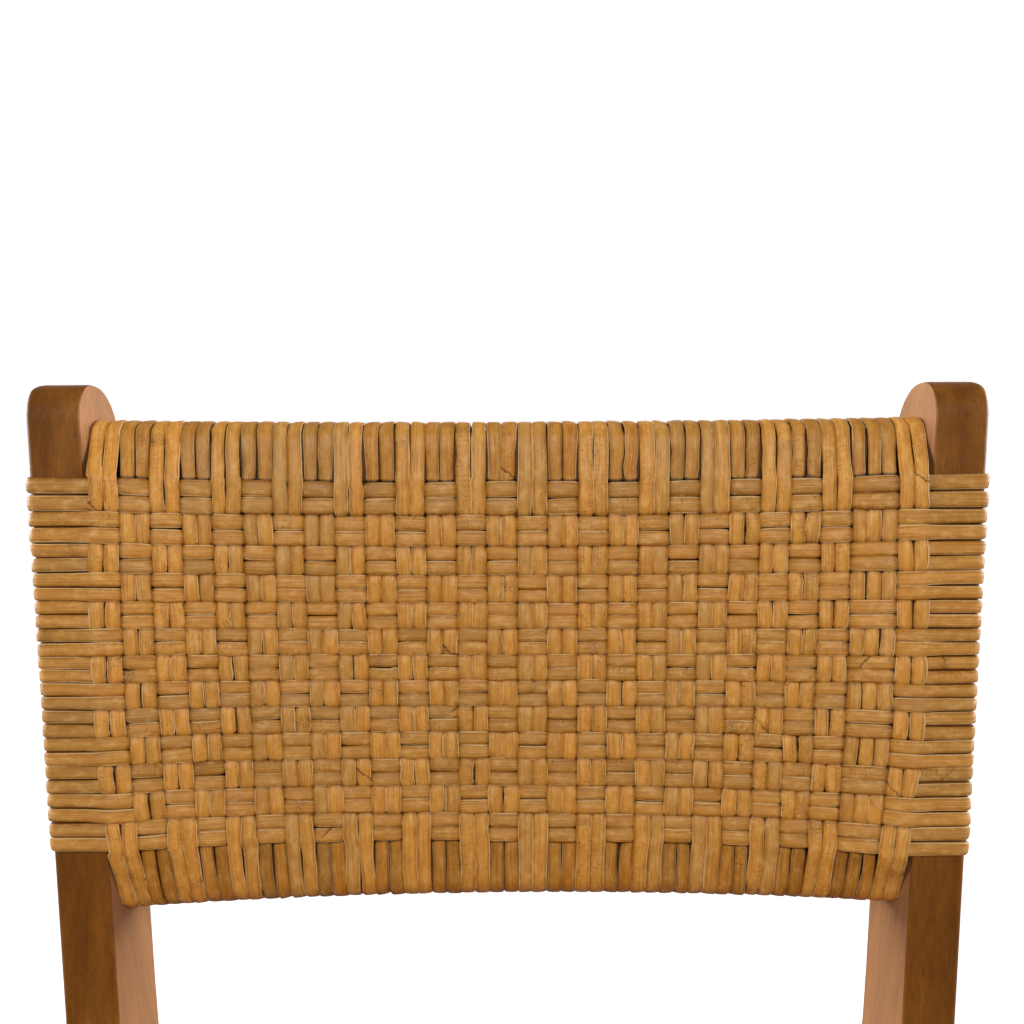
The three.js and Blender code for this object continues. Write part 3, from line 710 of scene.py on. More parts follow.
class Tree:
    """A node tree in the making."""

    def __init__(self, tree):
        self.tree = tree

    def node(self, kind, settings=None, sockets=None, output=0):
        """Adds a node of a kind, sets it up, fills or links its sockets and gives one of its outputs."""
        node = self.tree.nodes.new(kind)
        for name, value in (settings or {}).items():
            if name == "stops":
                set_stops(node.color_ramp, value)
            else:
                setattr(node, name, value)
        for name, value in (sockets or {}).items():
            if isinstance(value, Output):
                self.tree.links.new(value.socket, node.inputs[name])
            else:
                node.inputs[name].default_value = value
        return None if output is None else Output(self, node.outputs[output])

    def between(self, value, low, high):
        """0 below low, 1 above high and smooth between; the other way round where low is the higher."""
        settings = {"interpolation_type": "SMOOTHSTEP"}
        sockets = {"Value": value, "From Min": min(low, high), "From Max": max(low, high)}
        rising = self.node("ShaderNodeMapRange", settings, sockets)
        return rising if low < high else 1 - rising

    def named(self, name, kind="FLOAT"):
        return self.node("GeometryNodeInputNamedAttribute", {"data_type": kind}, {"Name": name})


def set_stops(ramp, stops):
    while len(ramp.elements) < len(stops):
        ramp.elements.new(1)
    for element, (place, colour) in zip(ramp.elements, stops):
        element.position = place
        element.color = colour


# A strand's section is an oval with these powers on its ordinates: a circle's at 1, and flatter below it
CROWN_ROUNDNESS = 0.74
UNDER_ROUNDNESS = 0.35
EDGE_ROUNDNESS = 0.62


def strand_sweeper():
    """Sweeps a strand's section along each path: crowned on its skin side, and flat where it was split."""
    group = bpy.data.node_groups.new("rattan strands", "GeometryNodeTree")
    face = group.interface
    face.new_socket("Geometry", in_out="INPUT", socket_type="NodeSocketGeometry")
    for name in ("Width", "Crown", "Underside"):
        face.new_socket(name, in_out="INPUT", socket_type="NodeSocketFloat")
    face.new_socket("Sides", in_out="INPUT", socket_type="NodeSocketInt")
    face.new_socket("Finish", in_out="INPUT", socket_type="NodeSocketMaterial")
    face.new_socket("Geometry", in_out="OUTPUT", socket_type="NodeSocketGeometry")
    tree = Tree(group)
    given = lambda name: tree.node("NodeGroupInput", output=name)

    corners = {"Resolution": given("Sides"), "Radius": 1}
    circle = tree.node("GeometryNodeCurvePrimitiveCircle", None, corners)
    spot = tree.node("GeometryNodeInputPosition")
    up = tree.node("ShaderNodeSeparateXYZ", None, {0: spot}, "X")
    across = tree.node("ShaderNodeSeparateXYZ", None, {0: spot}, "Y")
    under = up < 0
    roundness = CROWN_ROUNDNESS + under * (UNDER_ROUNDNESS - CROWN_ROUNDNESS)
    reach = given("Crown") + under * (given("Underside") - given("Crown"))
    height = up.sign() * abs(up) ** roundness * reach
    side = across.sign() * abs(across) ** EDGE_ROUNDNESS
    outline = tree.node("ShaderNodeCombineXYZ", None, {"X": height, "Y": side * given("Width") / 2})
    profile = tree.node(
        "GeometryNodeStoreNamedAttribute",
        {"data_type": "FLOAT", "domain": "POINT"},
        {"Geometry": circle, "Name": "side", "Value": side},
    )
    profile = tree.node("GeometryNodeSetPosition", None, {"Geometry": profile, "Position": outline})

    path = tree.node("GeometryNodeMeshToCurve", None, {"Mesh": given("Geometry")})
    lay = tree.named("lay", "FLOAT_VECTOR")
    path = tree.node("GeometryNodeSetCurveNormal", {"mode": "FREE"}, {"Curve": path, "Normal": lay})
    curves = {"Curve": path, "Profile Curve": profile, "Scale": tree.named("girth")}
    swept = tree.node("GeometryNodeCurveToMesh", None, curves)
    for kind, sockets in (
        ("RemoveAttribute", {"Name": "lay"}),
        ("RemoveAttribute", {"Name": "girth"}),
        ("SetShadeSmooth", {"Shade Smooth": True}),
        ("RealizeInstances", {}),
        ("SetMaterial", {"Material": given("Finish")}),
    ):
        swept = tree.node(f"GeometryNode{kind}", None, {"Geometry": swept, **sockets})
    tree.node("NodeGroupOutput", None, {0: swept}, None)
    return group


SWEEPER = strand_sweeper()


def plain_mesh(made):
    """The object's mesh with its modifiers worked in."""
    graph = bpy.context.evaluated_depsgraph_get()
    mesh = bpy.data.meshes.new_from_object(
        made.evaluated_get(graph), preserve_all_data_layers=True, depsgraph=graph
    )
    made.modifiers.clear()
    made.data = mesh
    mesh.name = made.name


def sweep(strands, width, sides, finish):
    """Turns a mesh of paths into strands."""
    modifier = strands.modifiers.new("strands", "NODES")
    modifier.node_group = SWEEPER
    section = {"Width": width * MM, "Crown": CROWN * MM, "Underside": (STRAND - CROWN) * MM, "Sides": sides}
    sizes = {**section, "Finish": finish}
    for socket in SWEEPER.interface.items_tree:
        if socket.name in sizes:
            modifier[socket.identifier] = sizes[socket.name]
    plain_mesh(strands)


# Finishes

class Finish(Tree):
    """A procedural material in the making, on a Principled shader."""

    def __init__(self, name, **constants):
        self.material = bpy.data.materials.new(name)
        self.material.use_nodes = True
        super().__init__(self.material.node_tree)
        self.tree.nodes.clear()
        self.shader = self.tree.nodes.new("ShaderNodeBsdfPrincipled")
        surface = self.tree.nodes.new("ShaderNodeOutputMaterial")
        self.tree.links.new(self.shader.outputs[0], surface.inputs["Surface"])
        for name_of_socket, value in constants.items():
            self.shader.inputs[name_of_socket.replace("_", " ")].default_value = value

    def feed(self, socket, value):
        self.tree.links.new(value.socket, self.shader.inputs[socket])

    def attribute(self, name):
        return self.node("ShaderNodeAttribute", {"attribute_name": name}, None, "Fac")

    def object_place(self):
        return self.node("ShaderNodeTexCoord", None, None, "Object")

    def stretched(self, place, scale, shift=(0, 0, 0)):
        """A place for a pattern, with its own scale on each axis."""
        return self.node("ShaderNodeMapping", None, {"Vector": place, "Scale": scale, "Location": shift})

    def vector(self, x, y, z):
        return self.node("ShaderNodeCombineXYZ", None, {"X": x, "Y": y, "Z": z})

    def noise(self, place, detail=2, roughness=0.5, scale=1):
        sockets = {"Vector": place, "Scale": scale, "Detail": detail, "Roughness": roughness}
        return self.node("ShaderNodeTexNoise", {"noise_dimensions": "3D"}, sockets)

    def random(self, x, y, z):
        place = self.vector(x, y, z)
        return self.node("ShaderNodeTexWhiteNoise", {"noise_dimensions": "3D"}, {"Vector": place})

    def ramp(self, value, stops):
        return self.node("ShaderNodeValToRGB", {"stops": stops}, {"Fac": value})

    def blend(self, share, first, second):
        return self.node("ShaderNodeMix", {"data_type": "RGBA"}, {0: share, 6: first, 7: second}, 2)

    def layered(self, colour, *layers):
        """A colour with others laid over it, each by its share."""
        for share, over in layers:
            colour = self.blend(share, colour, over)
        return colour

    def lighten(self, colour, times):
        return self.node("ShaderNodeVectorMath", {"operation": "SCALE"}, {0: colour, "Scale": times})

    def bump(self, height, distance):
        sockets = {"Height": height, "Distance": distance, "Strength": 1}
        self.feed("Normal", self.node("ShaderNodeBump", None, sockets))


def paint(red, green, blue):
    """A colour as the eye reads it, 0 to 255, for a shader."""
    linear = [((c / 255 + 0.055) / 1.055) ** 2.4 if c > 10 else c / 255 / 12.92 for c in (red, green, blue)]
    return (*linear, 1)


def grey(light):
    return (light, light, light, 1)


# Split rattan
RATTAN_TONES = [
    (0.0, paint(145, 92, 25)),
    (0.2, paint(176, 119, 38)),
    (0.5, paint(195, 133, 47)),
    (0.75, paint(199, 133, 45)),
    (0.92, paint(195, 124, 38)),
    (1.0, paint(173, 104, 30)),
]
DARK_FIBRE = paint(142, 86, 22)
PALE_FIBRE = paint(230, 188, 124)
OLD_SKIN = paint(146, 114, 66)
BROWN_THREAD = paint(130, 78, 18)
DARK_PATCH = paint(146, 86, 20)
PALE_PATCH = paint(226, 184, 120)
SAWN_EDGE = paint(240, 204, 146)
LEAF_RING = paint(98, 58, 22)
CRACK = paint(120, 74, 30)
SPLICE = paint(66, 34, 8)
SPECK = paint(92, 56, 26)
# Painted highlight and painted shade: colours that stand in for light on the crowns, and for shade at
# dives, corners, rims and covered parts
CROWN_PAINTED_HIGHLIGHT = paint(236, 184, 112)
PRESSED_PAINTED_SHADE = paint(84, 40, 4)
CORNER_PAINTED_SHADE = paint(34, 14, 1)
RIM_PAINTED_SHADE = paint(74, 34, 2)
COVERED_PAINTED_SHADE = paint(20, 8, 0)
SPLICE_LENGTH = 820  # a strand's colour changes about this often, where one length ends under the next
SPLICE_SLANT = 0.004  # how far a splice slants, as a share of that length
NODE_SPACING = 290  # between the rings where leaves grew
NODE_LENGTH = 5
CRACK_SPACING = 2.6  # between the fine cracks across a dry strand
RATTAN_GRAIN_DEPTH = 0.00045


def rattan_skin(name, shade):
    """Split rattan with its skin on: honey coloured, with long fibres, leaf rings and cross cracks."""
    finish = Finish(name, Specular_IOR_Level=0.24)
    along, side, rise, strand = map(finish.attribute, ("along", "side", "rise", "strand"))

    # What multiplies strand only keeps the strands' patterns apart.
    splice_place = along / SPLICE_LENGTH + strand * 53 + side * SPLICE_SLANT
    length = splice_place.floor()
    tone = finish.random(length, strand * 91, 3)
    habit = finish.random(length, strand * 47, 11)

    def pattern(lengthwise, crosswise, step, detail, roughness):
        place = finish.vector(along * lengthwise, side * crosswise, strand * step)
        return finish.noise(place, detail, roughness)

    fibres = pattern(0.02, 4.2, 60, 3, 0.62)
    threads = pattern(0.04, 11, 77, 2, 0.5)
    drift = pattern(0.011, 0.35, 33, 2, 0.5)
    mottle = pattern(0.16, 1.1, 29, 3, 0.6)
    speckle = pattern(1.1, 4, 13, 2, 0.7)
    tears = pattern(0.3, 1.2, 3, 2, 0.6)
    dots = pattern(1.3, 5.5, 41, 1, 0.4)

    dark_fibre = finish.between(fibres, 0.56, 0.3)
    skin = finish.layered(
        finish.ramp(0.18 + tone * 0.64 + (drift - 0.5) * 0.8, RATTAN_TONES),
        (dark_fibre * 0.62, DARK_FIBRE),
        (finish.between(threads, 0.55, 0.8) * 0.42, PALE_FIBRE),
        (finish.between(habit, 0.24, 0.1) * 0.4, OLD_SKIN),
        (finish.between(threads, 0.46, 0.3) * 0.3, BROWN_THREAD),
    )
    skin = finish.lighten(skin, shade * (0.72 + mottle * 0.22 + speckle * 0.4))

    # The skin's sawn edge shows pale beside it, and torn in places.
    frayed = abs(side) + (threads - 0.5) * 0.12 + (mottle - 0.5) * 0.1
    edge = finish.between(frayed, 0.8, 0.87) * finish.between(drift, 0.42, 0.56)

    ring_place = along / NODE_SPACING + strand * 17
    off_ring = abs(ring_place.fraction() - 0.5) * NODE_SPACING + (mottle - 0.5) * 5
    ring = finish.between(off_ring, NODE_LENGTH, 0) * finish.between(habit, 0.35, 0.45)

    crack_place = along / CRACK_SPACING + (mottle - 0.5) * 2.4 + strand * 7
    off_crack = abs(crack_place.fraction() - 0.5)
    torn = finish.between(tears, 0.5, 0.6)
    crack = finish.between(off_crack, 0.08, 0.01) * torn * finish.between(habit, 0.72, 0.8)

    jagged = (speckle - 0.5) * 0.004 + (mottle - 0.5) * 0.009
    off_splice = abs((splice_place + jagged + 0.5).fraction() - 0.5) * SPLICE_LENGTH
    splice = finish.between(off_splice, 0.7, 0.2) * finish.between(habit, 0.4, 0.5)
    marks = (
        (finish.between(mottle, 0.5, 0.3) * 0.35, DARK_PATCH),
        (finish.between(mottle, 0.5, 0.7) * 0.3, PALE_PATCH),
        (edge * 0.7, SAWN_EDGE),
        (ring * finish.between(speckle, 0.42, 0.62) * 0.85, LEAF_RING),
        (crack * 0.5, CRACK),
        (splice * 0.75, SPLICE),
        (finish.between(dots, 0.7, 0.76) * 0.6, SPECK),
    )

    # Painted shade darkens the strands towards their edges, where they dive under others, in the corners of
    # the crossings, along their rims and where they lie covered; a painted highlight lightens the crowns of
    # strands that cross over.
    pressed = finish.between(rise, 0.8, -0.3)
    rounded = finish.between(abs(side), 0.45, 0.95)
    crown = finish.between(rise, 0, 0.9) * finish.between(abs(side), 0.85, 0.25)
    corner = finish.between(rise, 0.45, -0.3) * finish.between(abs(side), 0.6, 0.95)
    painted_light_and_shade = (
        (crown * 0.16, CROWN_PAINTED_HIGHLIGHT),
        (rounded * 0.14 + pressed * 0.52 + pressed * rounded * 0.3, PRESSED_PAINTED_SHADE),
        (corner * 0.75, CORNER_PAINTED_SHADE),
        (finish.between(abs(side), 0.93, 1) * 0.7, RIM_PAINTED_SHADE),
        (finish.between(rise, 0.1, -0.7) * 0.8, COVERED_PAINTED_SHADE),
    )

    finish.feed("Base Color", finish.layered(skin, *marks, *painted_light_and_shade))
    finish.feed("Roughness", 0.34 + dark_fibre * 0.16 + crack * 0.2 + mottle * 0.14)
    height = fibres * 0.7 + threads * 0.35 + mottle * 0.5 - crack * 0.5 - ring * 0.3 + edge * 0.3 - splice
    finish.bump(height, RATTAN_GRAIN_DEPTH)
    return finish.material


# Stained frame, bare tenons and nylon glides
WOOD_TONES = [
    (0.34, paint(100, 57, 9)),
    (0.46, paint(111, 64, 12)),
    (0.54, paint(120, 71, 16)),
    (0.64, paint(131, 81, 24)),
]
WOOD_PORE = paint(64, 36, 14)
FLANK_PAINTED_SHEEN = paint(222, 170, 126)
WOOD_GRAIN_DEPTH = 0.00018
# Painted shade: the rails inside the weave are darkened, which deepens the gaps between the strands
HIDDEN_SHADE = 0.45  # the rails inside the weave are darker
TENON_TONES = [(0.3, paint(176, 132, 86)), (0.7, paint(214, 174, 126))]
TENON_GRAIN_DEPTH = 0.0001
NYLON_TONES = [(0.3, paint(38, 33, 30)), (0.7, paint(52, 46, 41))]
WORN_NYLON = paint(98, 90, 82)
WEAR_HEIGHTS = (2.2 * MM, 0.4 * MM)  # the glides' wear begins at the first and is full below the second
NYLON_GRIT_DEPTH = 0.00006


def stained_wood(name, grain_axis, seed=0, shade=1):
    """Dark stained hardwood under satin lacquer, grained along one axis; its paler flanks are a painted
    sheen, and a shade below 1 darkens it as painted shade.
    """
    finish = Finish(name, Specular_IOR_Level=0.18)
    place = finish.object_place()

    def grain(across, along, shift):
        scale = [across, across, across]
        scale["XYZ".index(grain_axis)] = along
        return finish.stretched(place, scale, (shift, seed + shift, shift))

    board = finish.noise(grain(52, 2.2, seed), 1, 0.5)
    figure = finish.noise(grain(130, 4.5, 3), 3, 0.6)
    streak = finish.noise(grain(520, 11, 7), 2, 0.55)
    pore = finish.noise(grain(1500, 45, 11), 1, 0.4)
    deep = finish.between(pore, 0.6, 0.7)
    flank = finish.attribute("flank")

    stain = finish.ramp(board * 0.7 + figure * 0.3, WOOD_TONES)
    stain = finish.lighten(stain, shade * (0.66 + streak * 0.68))
    # The flanks' paler colour is a painted sheen: it stands in for the brighter light and reflection that
    # the side faces catch
    layers = ((deep * 0.3, WOOD_PORE), (flank * (0.19 + streak * 0.14), FLANK_PAINTED_SHEEN))
    finish.feed("Base Color", finish.layered(stain, *layers))
    finish.feed("Roughness", 0.36 + figure * 0.16 + deep * 0.2 + flank * 0.2)
    finish.bump(streak * 0.5 - deep * 0.5 + figure * 0.3, WOOD_GRAIN_DEPTH)
    return finish.material


def bare_wood():
    """Unstained hardwood of the hidden tenons."""
    finish = Finish("bare tenon wood", Specular_IOR_Level=0.3)
    lines = finish.noise(finish.stretched(finish.object_place(), (60, 900, 900)), 2, 0.5)
    finish.feed("Base Color", finish.ramp(lines, TENON_TONES))
    finish.feed("Roughness", 0.6 + lines * 0.2)
    finish.bump(lines, TENON_GRAIN_DEPTH)
    return finish.material


def moulded_nylon():
    """Dark brown nylon of the glides, worn duller and paler where they slide."""
    finish = Finish("moulded nylon", Specular_IOR_Level=0.4)
    place = finish.object_place()
    height = finish.node("ShaderNodeSeparateXYZ", None, {0: place}, "Z")
    grit = finish.noise(place, 3, 0.6, 1400)
    scuffs = finish.noise(finish.stretched(place, (90, 700, 300)), 2, 0.6)
    worn = finish.between(height, *WEAR_HEIGHTS) * finish.between(scuffs, 0.4, 0.6)
    finish.feed("Base Color", finish.layered(finish.ramp(grit, NYLON_TONES), (worn * 0.6, WORN_NYLON)))
    finish.feed("Roughness", 0.42 + grit * 0.15 + worn * 0.25)
    finish.bump(grit + scuffs * 0.5, NYLON_GRIT_DEPTH)
    return finish.material


# Wood pieces

def oblong(width, depth, edge, inner_edge=None):
    """The outline of a bar's section, with rounded long edges."""
    inner = inner_edge or edge
    corners = (
        (width - edge, depth - edge, edge),
        (inner, depth - inner, inner),
        (inner, inner, inner),
        (width - edge, edge, edge),
    )
    outline = []
    for quarter, (x, y, radius) in enumerate(corners):
        for step in range(EDGE_STEPS + 1):
            angle = (quarter + step / EDGE_STEPS) * math.pi / 2
            outline.append((x + radius * math.cos(angle), y + radius * math.sin(angle)))
    return np.array(outline)


def ringed_mesh(name, rings, finish, flank):
    """A closed mesh through rings of places: its two ends first, then the faces between each two rings.

    Its attribute flank is what flank says for each face between two rings, and 0 on the ends.
    """
    size = len(flank)
    last = size * (len(rings) - 1)
    faces = [tuple(range(size)), tuple(range(last + size - 1, last - 1, -1))]
    for low in range(0, last, size):
        for i in range(size):
            here, after = low + i, low + (i + 1) % size
            faces.append((here, here + size, after + size, after))
    mesh = bpy.data.meshes.new(name)
    mesh.from_pydata(in_metres(np.concatenate(rings)).tolist(), [], faces)
    values = [0, 0, *flank * (len(rings) - 1)]
    mesh.attributes.new("flank", "FLOAT", "FACE").data.foreach_set("value", values)
    work = bmesh.new()
    work.from_mesh(mesh)
    bmesh.ops.recalc_face_normals(work, faces=work.faces)
    work.to_mesh(mesh)
    work.free()
    mesh.shade_smooth()
    mesh.materials.append(finish)
    return mesh


def loft(name, section, stations, finish):
    """A closed bar through the section's places at each station, with flat faces and round edges."""
    rings = [station(*section.T) for station in stations]
    flanks = (2 * (EDGE_STEPS + 1) - 1, 4 * (EDGE_STEPS + 1) - 1)
    flank = [float(i in flanks) for i in range(len(section))]
    bar = new_object(name, ringed_mesh(name, rings, finish, flank))
    bar.modifiers.new("flat faces", "WEIGHTED_NORMAL").weight = FLAT_FACE_WEIGHT
    plain_mesh(bar)
    return bar


def drawn_in(edge, drop):
    """How far a rounded corner draws in, at a depth below the end that it rounds."""
    return edge - np.sqrt(edge**2 - np.maximum(0, edge - drop) ** 2)


def mirrored(station, side):
    return lambda p, q: station(p, q) * (side, 1, 1)


def rear_leg(side_name, side, finish):
    def level(z):
        def station(p, q):
            leg = rear_leg_at(np.float64(z))
            y = leg["front"] + q / POST_DEPTH * leg["depth"]
            x = mix(leg["inner"], leg["outer"], p / POST_WIDTH) - (y - leg["front"]) * math.tan(TOE)
            return places(x, y, z)

        return station

    def rounded(angle):
        def station(p, q):
            share = q / POST_DEPTH
            drop = mix(POST_FRONT_ROUND, POST_REAR_ROUND, share) * (1 - math.sin(angle))
            front_depth = POST_FRONT_ROUND * (1 - math.cos(angle))
            rear_depth = POST_DEPTH - POST_REAR_ROUND * (1 - math.cos(angle))
            depth = mix(front_depth, rear_depth, share)
            y = back_y(drop, depth)
            z = back_z(drop, depth)
            outer = POST_WIDTH - drawn_in(POST_OUTER_ROUND, drop)
            across = mix(drawn_in(POST_INNER_ROUND, drop), outer, p / POST_WIDTH)
            return places(inner_face(rear_leg_at, y, z) + across, y, z)

        return station

    bend = lambda middle: np.linspace(middle - BEND_BLEND, middle + BEND_BLEND, BEND_STEPS + 1)
    levels = [FOOT_LEVEL, *bend(BEND_LOW), *bend(BEND_HIGH), BEND_HIGH + POST_LAND_DEPTH]
    angles = np.linspace(0, math.pi / 2, CROWN_STEPS + 1)
    stations = [*map(level, levels), *map(rounded, angles)]
    section = oblong(POST_WIDTH, POST_DEPTH, POST_EDGE, POST_INNER_EDGE)
    stations = [mirrored(station, side) for station in stations]
    return loft(f"rear_leg_wood_{side_name}", section, stations, finish)


def front_leg(side_name, side, finish):
    def level(z, inset=0):
        def station(p, q):
            leg = front_leg_at(np.float64(z))
            y = mix(inset, leg["depth"] - inset, q / FRONT_LEG)
            x = mix(leg["inner"] + inset, leg["outer"] - inset, p / FRONT_LEG) - y * math.tan(TOE)
            return places(x, y, z)

        return station

    top = SEAT_HEIGHT + FRONT_LEG_RISE
    stations = [level(FOOT_LEVEL), level(TAPER_TOP)]
    for angle in np.linspace(0, math.pi / 2, CROWN_STEPS // 2 + 1):
        height = top - FRONT_LEG_ROUND * (1 - math.sin(angle))
        stations.append(level(height, FRONT_LEG_ROUND * (1 - math.cos(angle))))
    stations = [mirrored(station, side) for station in stations]
    section = oblong(FRONT_LEG, FRONT_LEG, FRONT_LEG_EDGE)
    return loft(f"front_leg_wood_{side_name}", section, stations, finish)


def side_bar(name, side, thickness, height, edge, level, finish):
    """A side rail or side stretcher, from the front leg's rear face to the rear leg's front face."""
    front_x, rear_x = (leg_middle(leg_at, np.float64(level)) for leg_at in (front_leg_at, rear_leg_at))

    def front(p, q):
        z = level + q - height / 2
        y = front_leg_at(z)["depth"] + SEAT
        return places(front_x + p - thickness / 2 - y * math.tan(TOE), y, z)

    def rear(p, q):
        z = level + q - height / 2
        y = rear_leg_at(z)["front"] - SEAT
        return places(rear_x + p - thickness / 2, y, z)

    stations = [mirrored(front, side), mirrored(rear, side)]
    return loft(name, oblong(thickness, height, edge), stations, finish)


def cross_stretcher(finish):
    level = np.float64(STRETCHER_LEVEL)
    front_y = front_leg_at(level)["depth"]
    rear_y = rear_leg_at(level)["front"]
    front_x = leg_middle(front_leg_at, level) - front_y * math.tan(TOE)
    rear_x = leg_middle(rear_leg_at, level)
    middle_y = mix(front_y, rear_y, CROSS_SHARE)

    def end(side):
        def station(p, q):
            y = middle_y + p - STRETCHER_THICKNESS / 2
            x = mix(front_x, rear_x, (y - front_y) / (rear_y - front_y)) - STRETCHER_THICKNESS / 2 - SEAT
            return places(side * x, y, STRETCHER_LEVEL + q - STRETCHER_HEIGHT / 2)

        return station

    section = oblong(STRETCHER_THICKNESS, STRETCHER_HEIGHT, STRETCHER_ROUND)
    return loft("cross_stretcher_wood", section, [end(-1), end(1)], finish)


def glide(name, leg_at, side, finish):
    """A nylon glide, with the pin that holds it in the foot."""
    leg = leg_at(np.float64(FOOT_LEVEL))
    y = leg["front"] + leg["depth"] / 2
    x = side * (leg_middle(leg_at, np.float64(FOOT_LEVEL)) - (y - leg["front"]) * math.tan(TOE))
    rounded = [
        (GLIDE_RADIUS - GLIDE_EDGE * (1 - math.sin(angle)), GLIDE_EDGE * (1 - math.cos(angle)))
        for angle in np.linspace(0, math.pi / 2, EDGE_STEPS)
    ]
    pin_top = GLIDE_HEIGHT + PIN_LENGTH - SEAT
    profile = [*rounded, (GLIDE_RADIUS, GLIDE_HEIGHT), (PIN_RADIUS, GLIDE_HEIGHT), (PIN_RADIUS, pin_top)]
    around = np.linspace(0, 2 * math.pi, GLIDE_SIDES, endpoint=False)
    rings = [places(x + r * np.cos(around), y + r * np.sin(around), z) for r, z in profile]
    mesh = ringed_mesh(name, rings, finish, [0.0] * GLIDE_SIDES)
    mesh.set_sharp_from_angle(angle=GLIDE_SHARP_ANGLE)
    return new_object(name, mesh)


# Dressing the frame

def dress(piece, slot, *nodes):
    """A piece of the chair, standing for CAD nodes."""
    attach(piece, "root")
    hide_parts(*nodes)


def dress_wood():
    upright = stained_wood("stained wood, grain upright", "Z")
    lengthwise = stained_wood("stained wood, grain front to back", "Y", 5)
    crosswise = stained_wood("stained wood, grain side to side", "X", 9)
    for side_name, side in (("right", 1), ("left", -1)):
        dress(rear_leg(side_name, side, upright), "frame_wood", f"rear_leg_{side_name}")
        dress(front_leg(side_name, side, upright), "frame_wood", f"front_leg_{side_name}")
        for kind, sizes in (
            ("seat_side_rail", (SIDE_RAIL_THICKNESS, SEAT_RAIL_HEIGHT, SIDE_RAIL_ROUND, SEAT_RAIL_MIDDLE)),
            ("side_stretcher", (STRETCHER_THICKNESS, STRETCHER_HEIGHT, STRETCHER_ROUND, STRETCHER_LEVEL)),
        ):
            bar = side_bar(f"{kind}_wood_{side_name}", side, *sizes, lengthwise)
            dress(bar, "frame_wood", f"{kind}_{side_name}")
    dress(cross_stretcher(crosswise), "frame_wood", "cross_stretcher")
    refinish(crosswise, "seat_front_rail", "seat_rear_rail")
    # The hidden back rails are darkened as painted shade, for the gaps between the strands
    hidden = stained_wood("stained wood, inside the weave", "X", 13, HIDDEN_SHADE)
    refinish(hidden, "back_top_rail", "back_bottom_rail")
    refinish(bare_wood(), *(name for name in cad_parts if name.startswith("tenon_")))


def refinish(finish, *nodes):
    """Gives CAD nodes that keep their own mesh a procedural finish."""
    for name in nodes:
        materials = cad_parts[name].data.materials
        materials.clear()
        materials.append(finish)


def dress_glides():
    nylon = moulded_nylon()
    for end, leg_at in (("rear", rear_leg_at), ("front", front_leg_at)):
        for side_name, side in (("right", 1), ("left", -1)):
            node = f"{end}_glide_{side_name}"
            dress(glide(f"{end}_glide_nylon_{side_name}", leg_at, side, nylon), "glide_nylon", node)


def dress_weave():
    upright_skin = rattan_skin("rattan skin, upright strands", 1.06)
    row_skin = rattan_skin("rattan skin, rows", 0.9)
    for name, sleeve, seed in (("back", BackSleeve(), 11), ("seat", SeatSleeve(), 23)):
        uprights = upright_strands(f"{name}_upright_strands", sleeve, seed)
        rows = row_strands(f"{name}_row_strands", sleeve, seed + 1)
        sweep(uprights, sleeve.strand_width, sleeve.sides, upright_skin)
        sweep(rows, sleeve.row_strand_width, sleeve.sides, row_skin)
        dress(uprights, "rattan", f"{name}_weave")
        dress(rows, "rattan", f"{name}_weave")


# Studio

def studio_floor():
    """A plain pale floor, too wide for its edge to show; it throws little light up at the chair."""
    finish = Finish("pale floor", Specular_IOR_Level=0.1, Emission_Strength=FLOOR_GLOW)
    dust = finish.noise(finish.object_place(), 3, 0.5, 3)
    seen = finish.node("ShaderNodeLightPath", None, None, "Is Camera Ray")
    pale = finish.ramp(dust, [(0.3, grey(0.9)), (0.7, grey(0.92))])
    finish.feed("Base Color", finish.blend(seen, grey(0.35), pale))
    finish.feed("Emission Color", finish.blend(seen, grey(0), pale))
    finish.feed("Roughness", 0.7 + dust * 0.1)
    mesh = bpy.data.meshes.new("studio_floor")
    near, far = -FLOOR_REACH, FLOOR_REACH
    mesh.from_pydata([(near, near, 0), (far, near, 0), (far, far, 0), (near, far, 0)], [], [(0, 1, 2, 3)])
    mesh.materials.append(finish.material)
    floor = new_object("studio_floor", mesh)


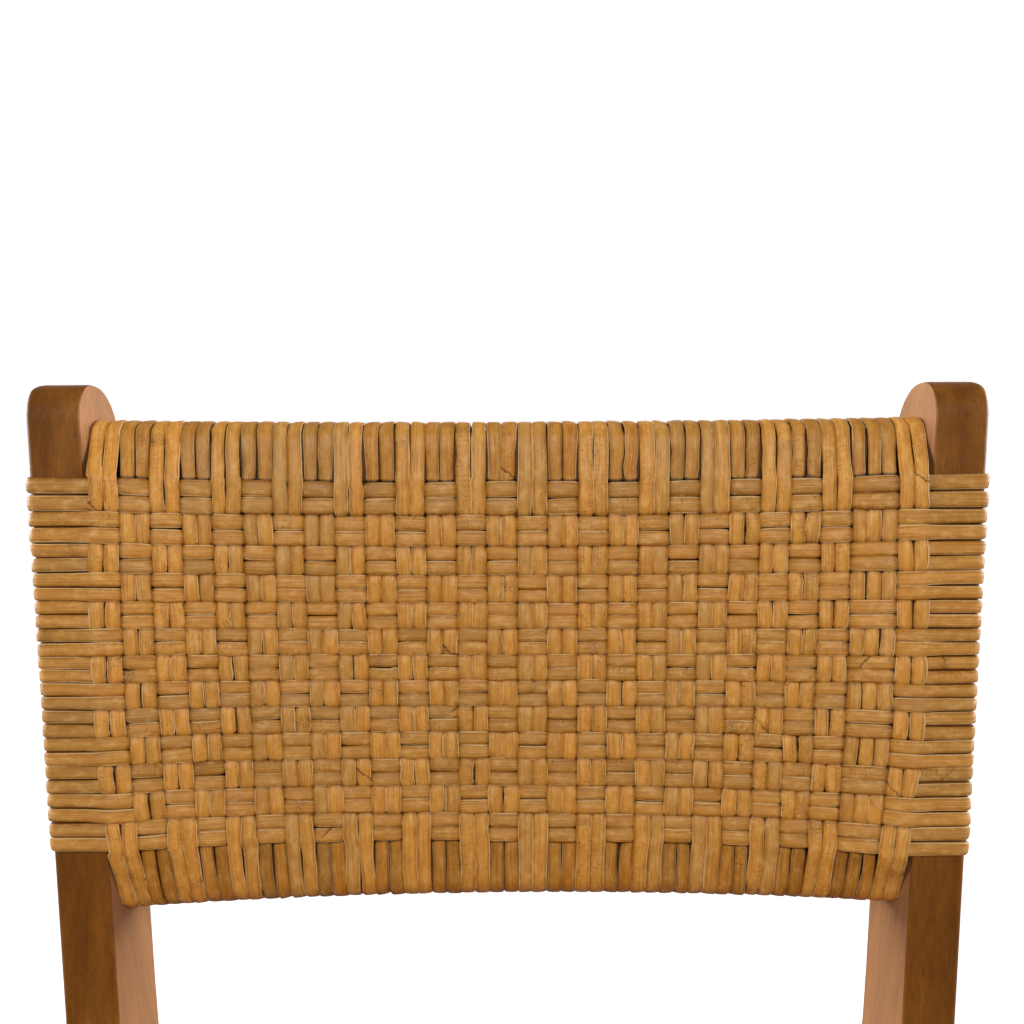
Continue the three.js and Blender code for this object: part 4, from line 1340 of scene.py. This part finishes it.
def studio_light():
    """A white backdrop that lights the chair from its sides and from behind, and one soft lamp."""
    world = bpy.data.worlds.new("studio backdrop")
    world.use_nodes = True
    bpy.context.scene.world = world
    tree = Tree(world.node_tree)
    world.node_tree.nodes.clear()
    direction = {0: tree.node("ShaderNodeTexCoord", None, None, "Generated")}
    aside, behind, above = (tree.node("ShaderNodeSeparateXYZ", None, direction, axis) for axis in "XYZ")
    around = tree.between(behind, -0.4, 0.3)
    shaded = 1 - OVERHEAD_SHADE * tree.between(above, 0.08, 0.55)
    strength = FRONT_LIGHT + around * (BEHIND_LIGHT + SIDE_LIGHT * aside**4) * shaded
    lit = tree.node("ShaderNodeBackground", None, {"Color": grey(1), "Strength": strength})
    seen = tree.node("ShaderNodeBackground", None, {"Color": grey(1), "Strength": BACKDROP_SEEN})
    to_camera = tree.node("ShaderNodeLightPath", None, None, "Is Camera Ray")
    both = tree.node("ShaderNodeMixShader", None, {0: to_camera, 1: lit, 2: seen})
    tree.node("ShaderNodeOutputWorld", None, {"Surface": both}, None)

    lamp = bpy.data.lights.new("broad lamp", "AREA")
    lamp.shape = "DISK"
    lamp.size = LAMP_SIZE
    lamp.energy = LAMP_POWER
    holder = bpy.data.objects.new("broad lamp", lamp)
    holder.location = LAMP_PLACE
    aim = Vector(LAMP_AIM) - holder.location
    holder.rotation_euler = aim.to_track_quat("-Z", "Y").to_euler()
    bpy.context.scene.collection.objects.link(holder)


def photo_camera():
    """Stands in front of the back's upper part, and looks along the leaning back's depth."""
    right = Vector((1, 0, 0))
    along_post = Vector((0, LEAN_SIN, LEAN_COS))
    into_back = Vector((0, LEAN_COS, -LEAN_SIN))
    post_tops = Vector((0, POST_TOP_Y + CENTRED, POST_TOP_Z))
    place = post_tops + right * CAMERA_ASIDE - into_back * CAMERA_AWAY - along_post * CAMERA_BELOW
    level = math.cos(CAMERA_PITCH)
    view = into_back * level * math.cos(CAMERA_YAW) + right * level * math.sin(CAMERA_YAW)
    view = (view - along_post * math.sin(CAMERA_PITCH)).normalized()
    across = view.cross(along_post).normalized()
    up = across.cross(view)
    rolled = across * math.cos(CAMERA_ROLL) + up * math.sin(CAMERA_ROLL)
    upward = up * math.cos(CAMERA_ROLL) - across * math.sin(CAMERA_ROLL)
    lens = bpy.data.cameras.new("photo camera")
    lens.lens = CAMERA_LENS
    lens.sensor_width = CAMERA_SENSOR
    lens.clip_start = CAMERA_NEAR * MM
    camera = bpy.data.objects.new("photo camera", lens)
    turned = Matrix((rolled, upward, -view)).transposed().to_4x4()
    camera.matrix_world = Matrix.Translation(place * MM) @ turned
    bpy.context.scene.collection.objects.link(camera)
    bpy.context.scene.camera = camera


dress_wood()
dress_glides()
dress_weave()
studio_floor()
studio_light()
photo_camera()

bpy.context.scene.view_settings.view_transform = "Standard"
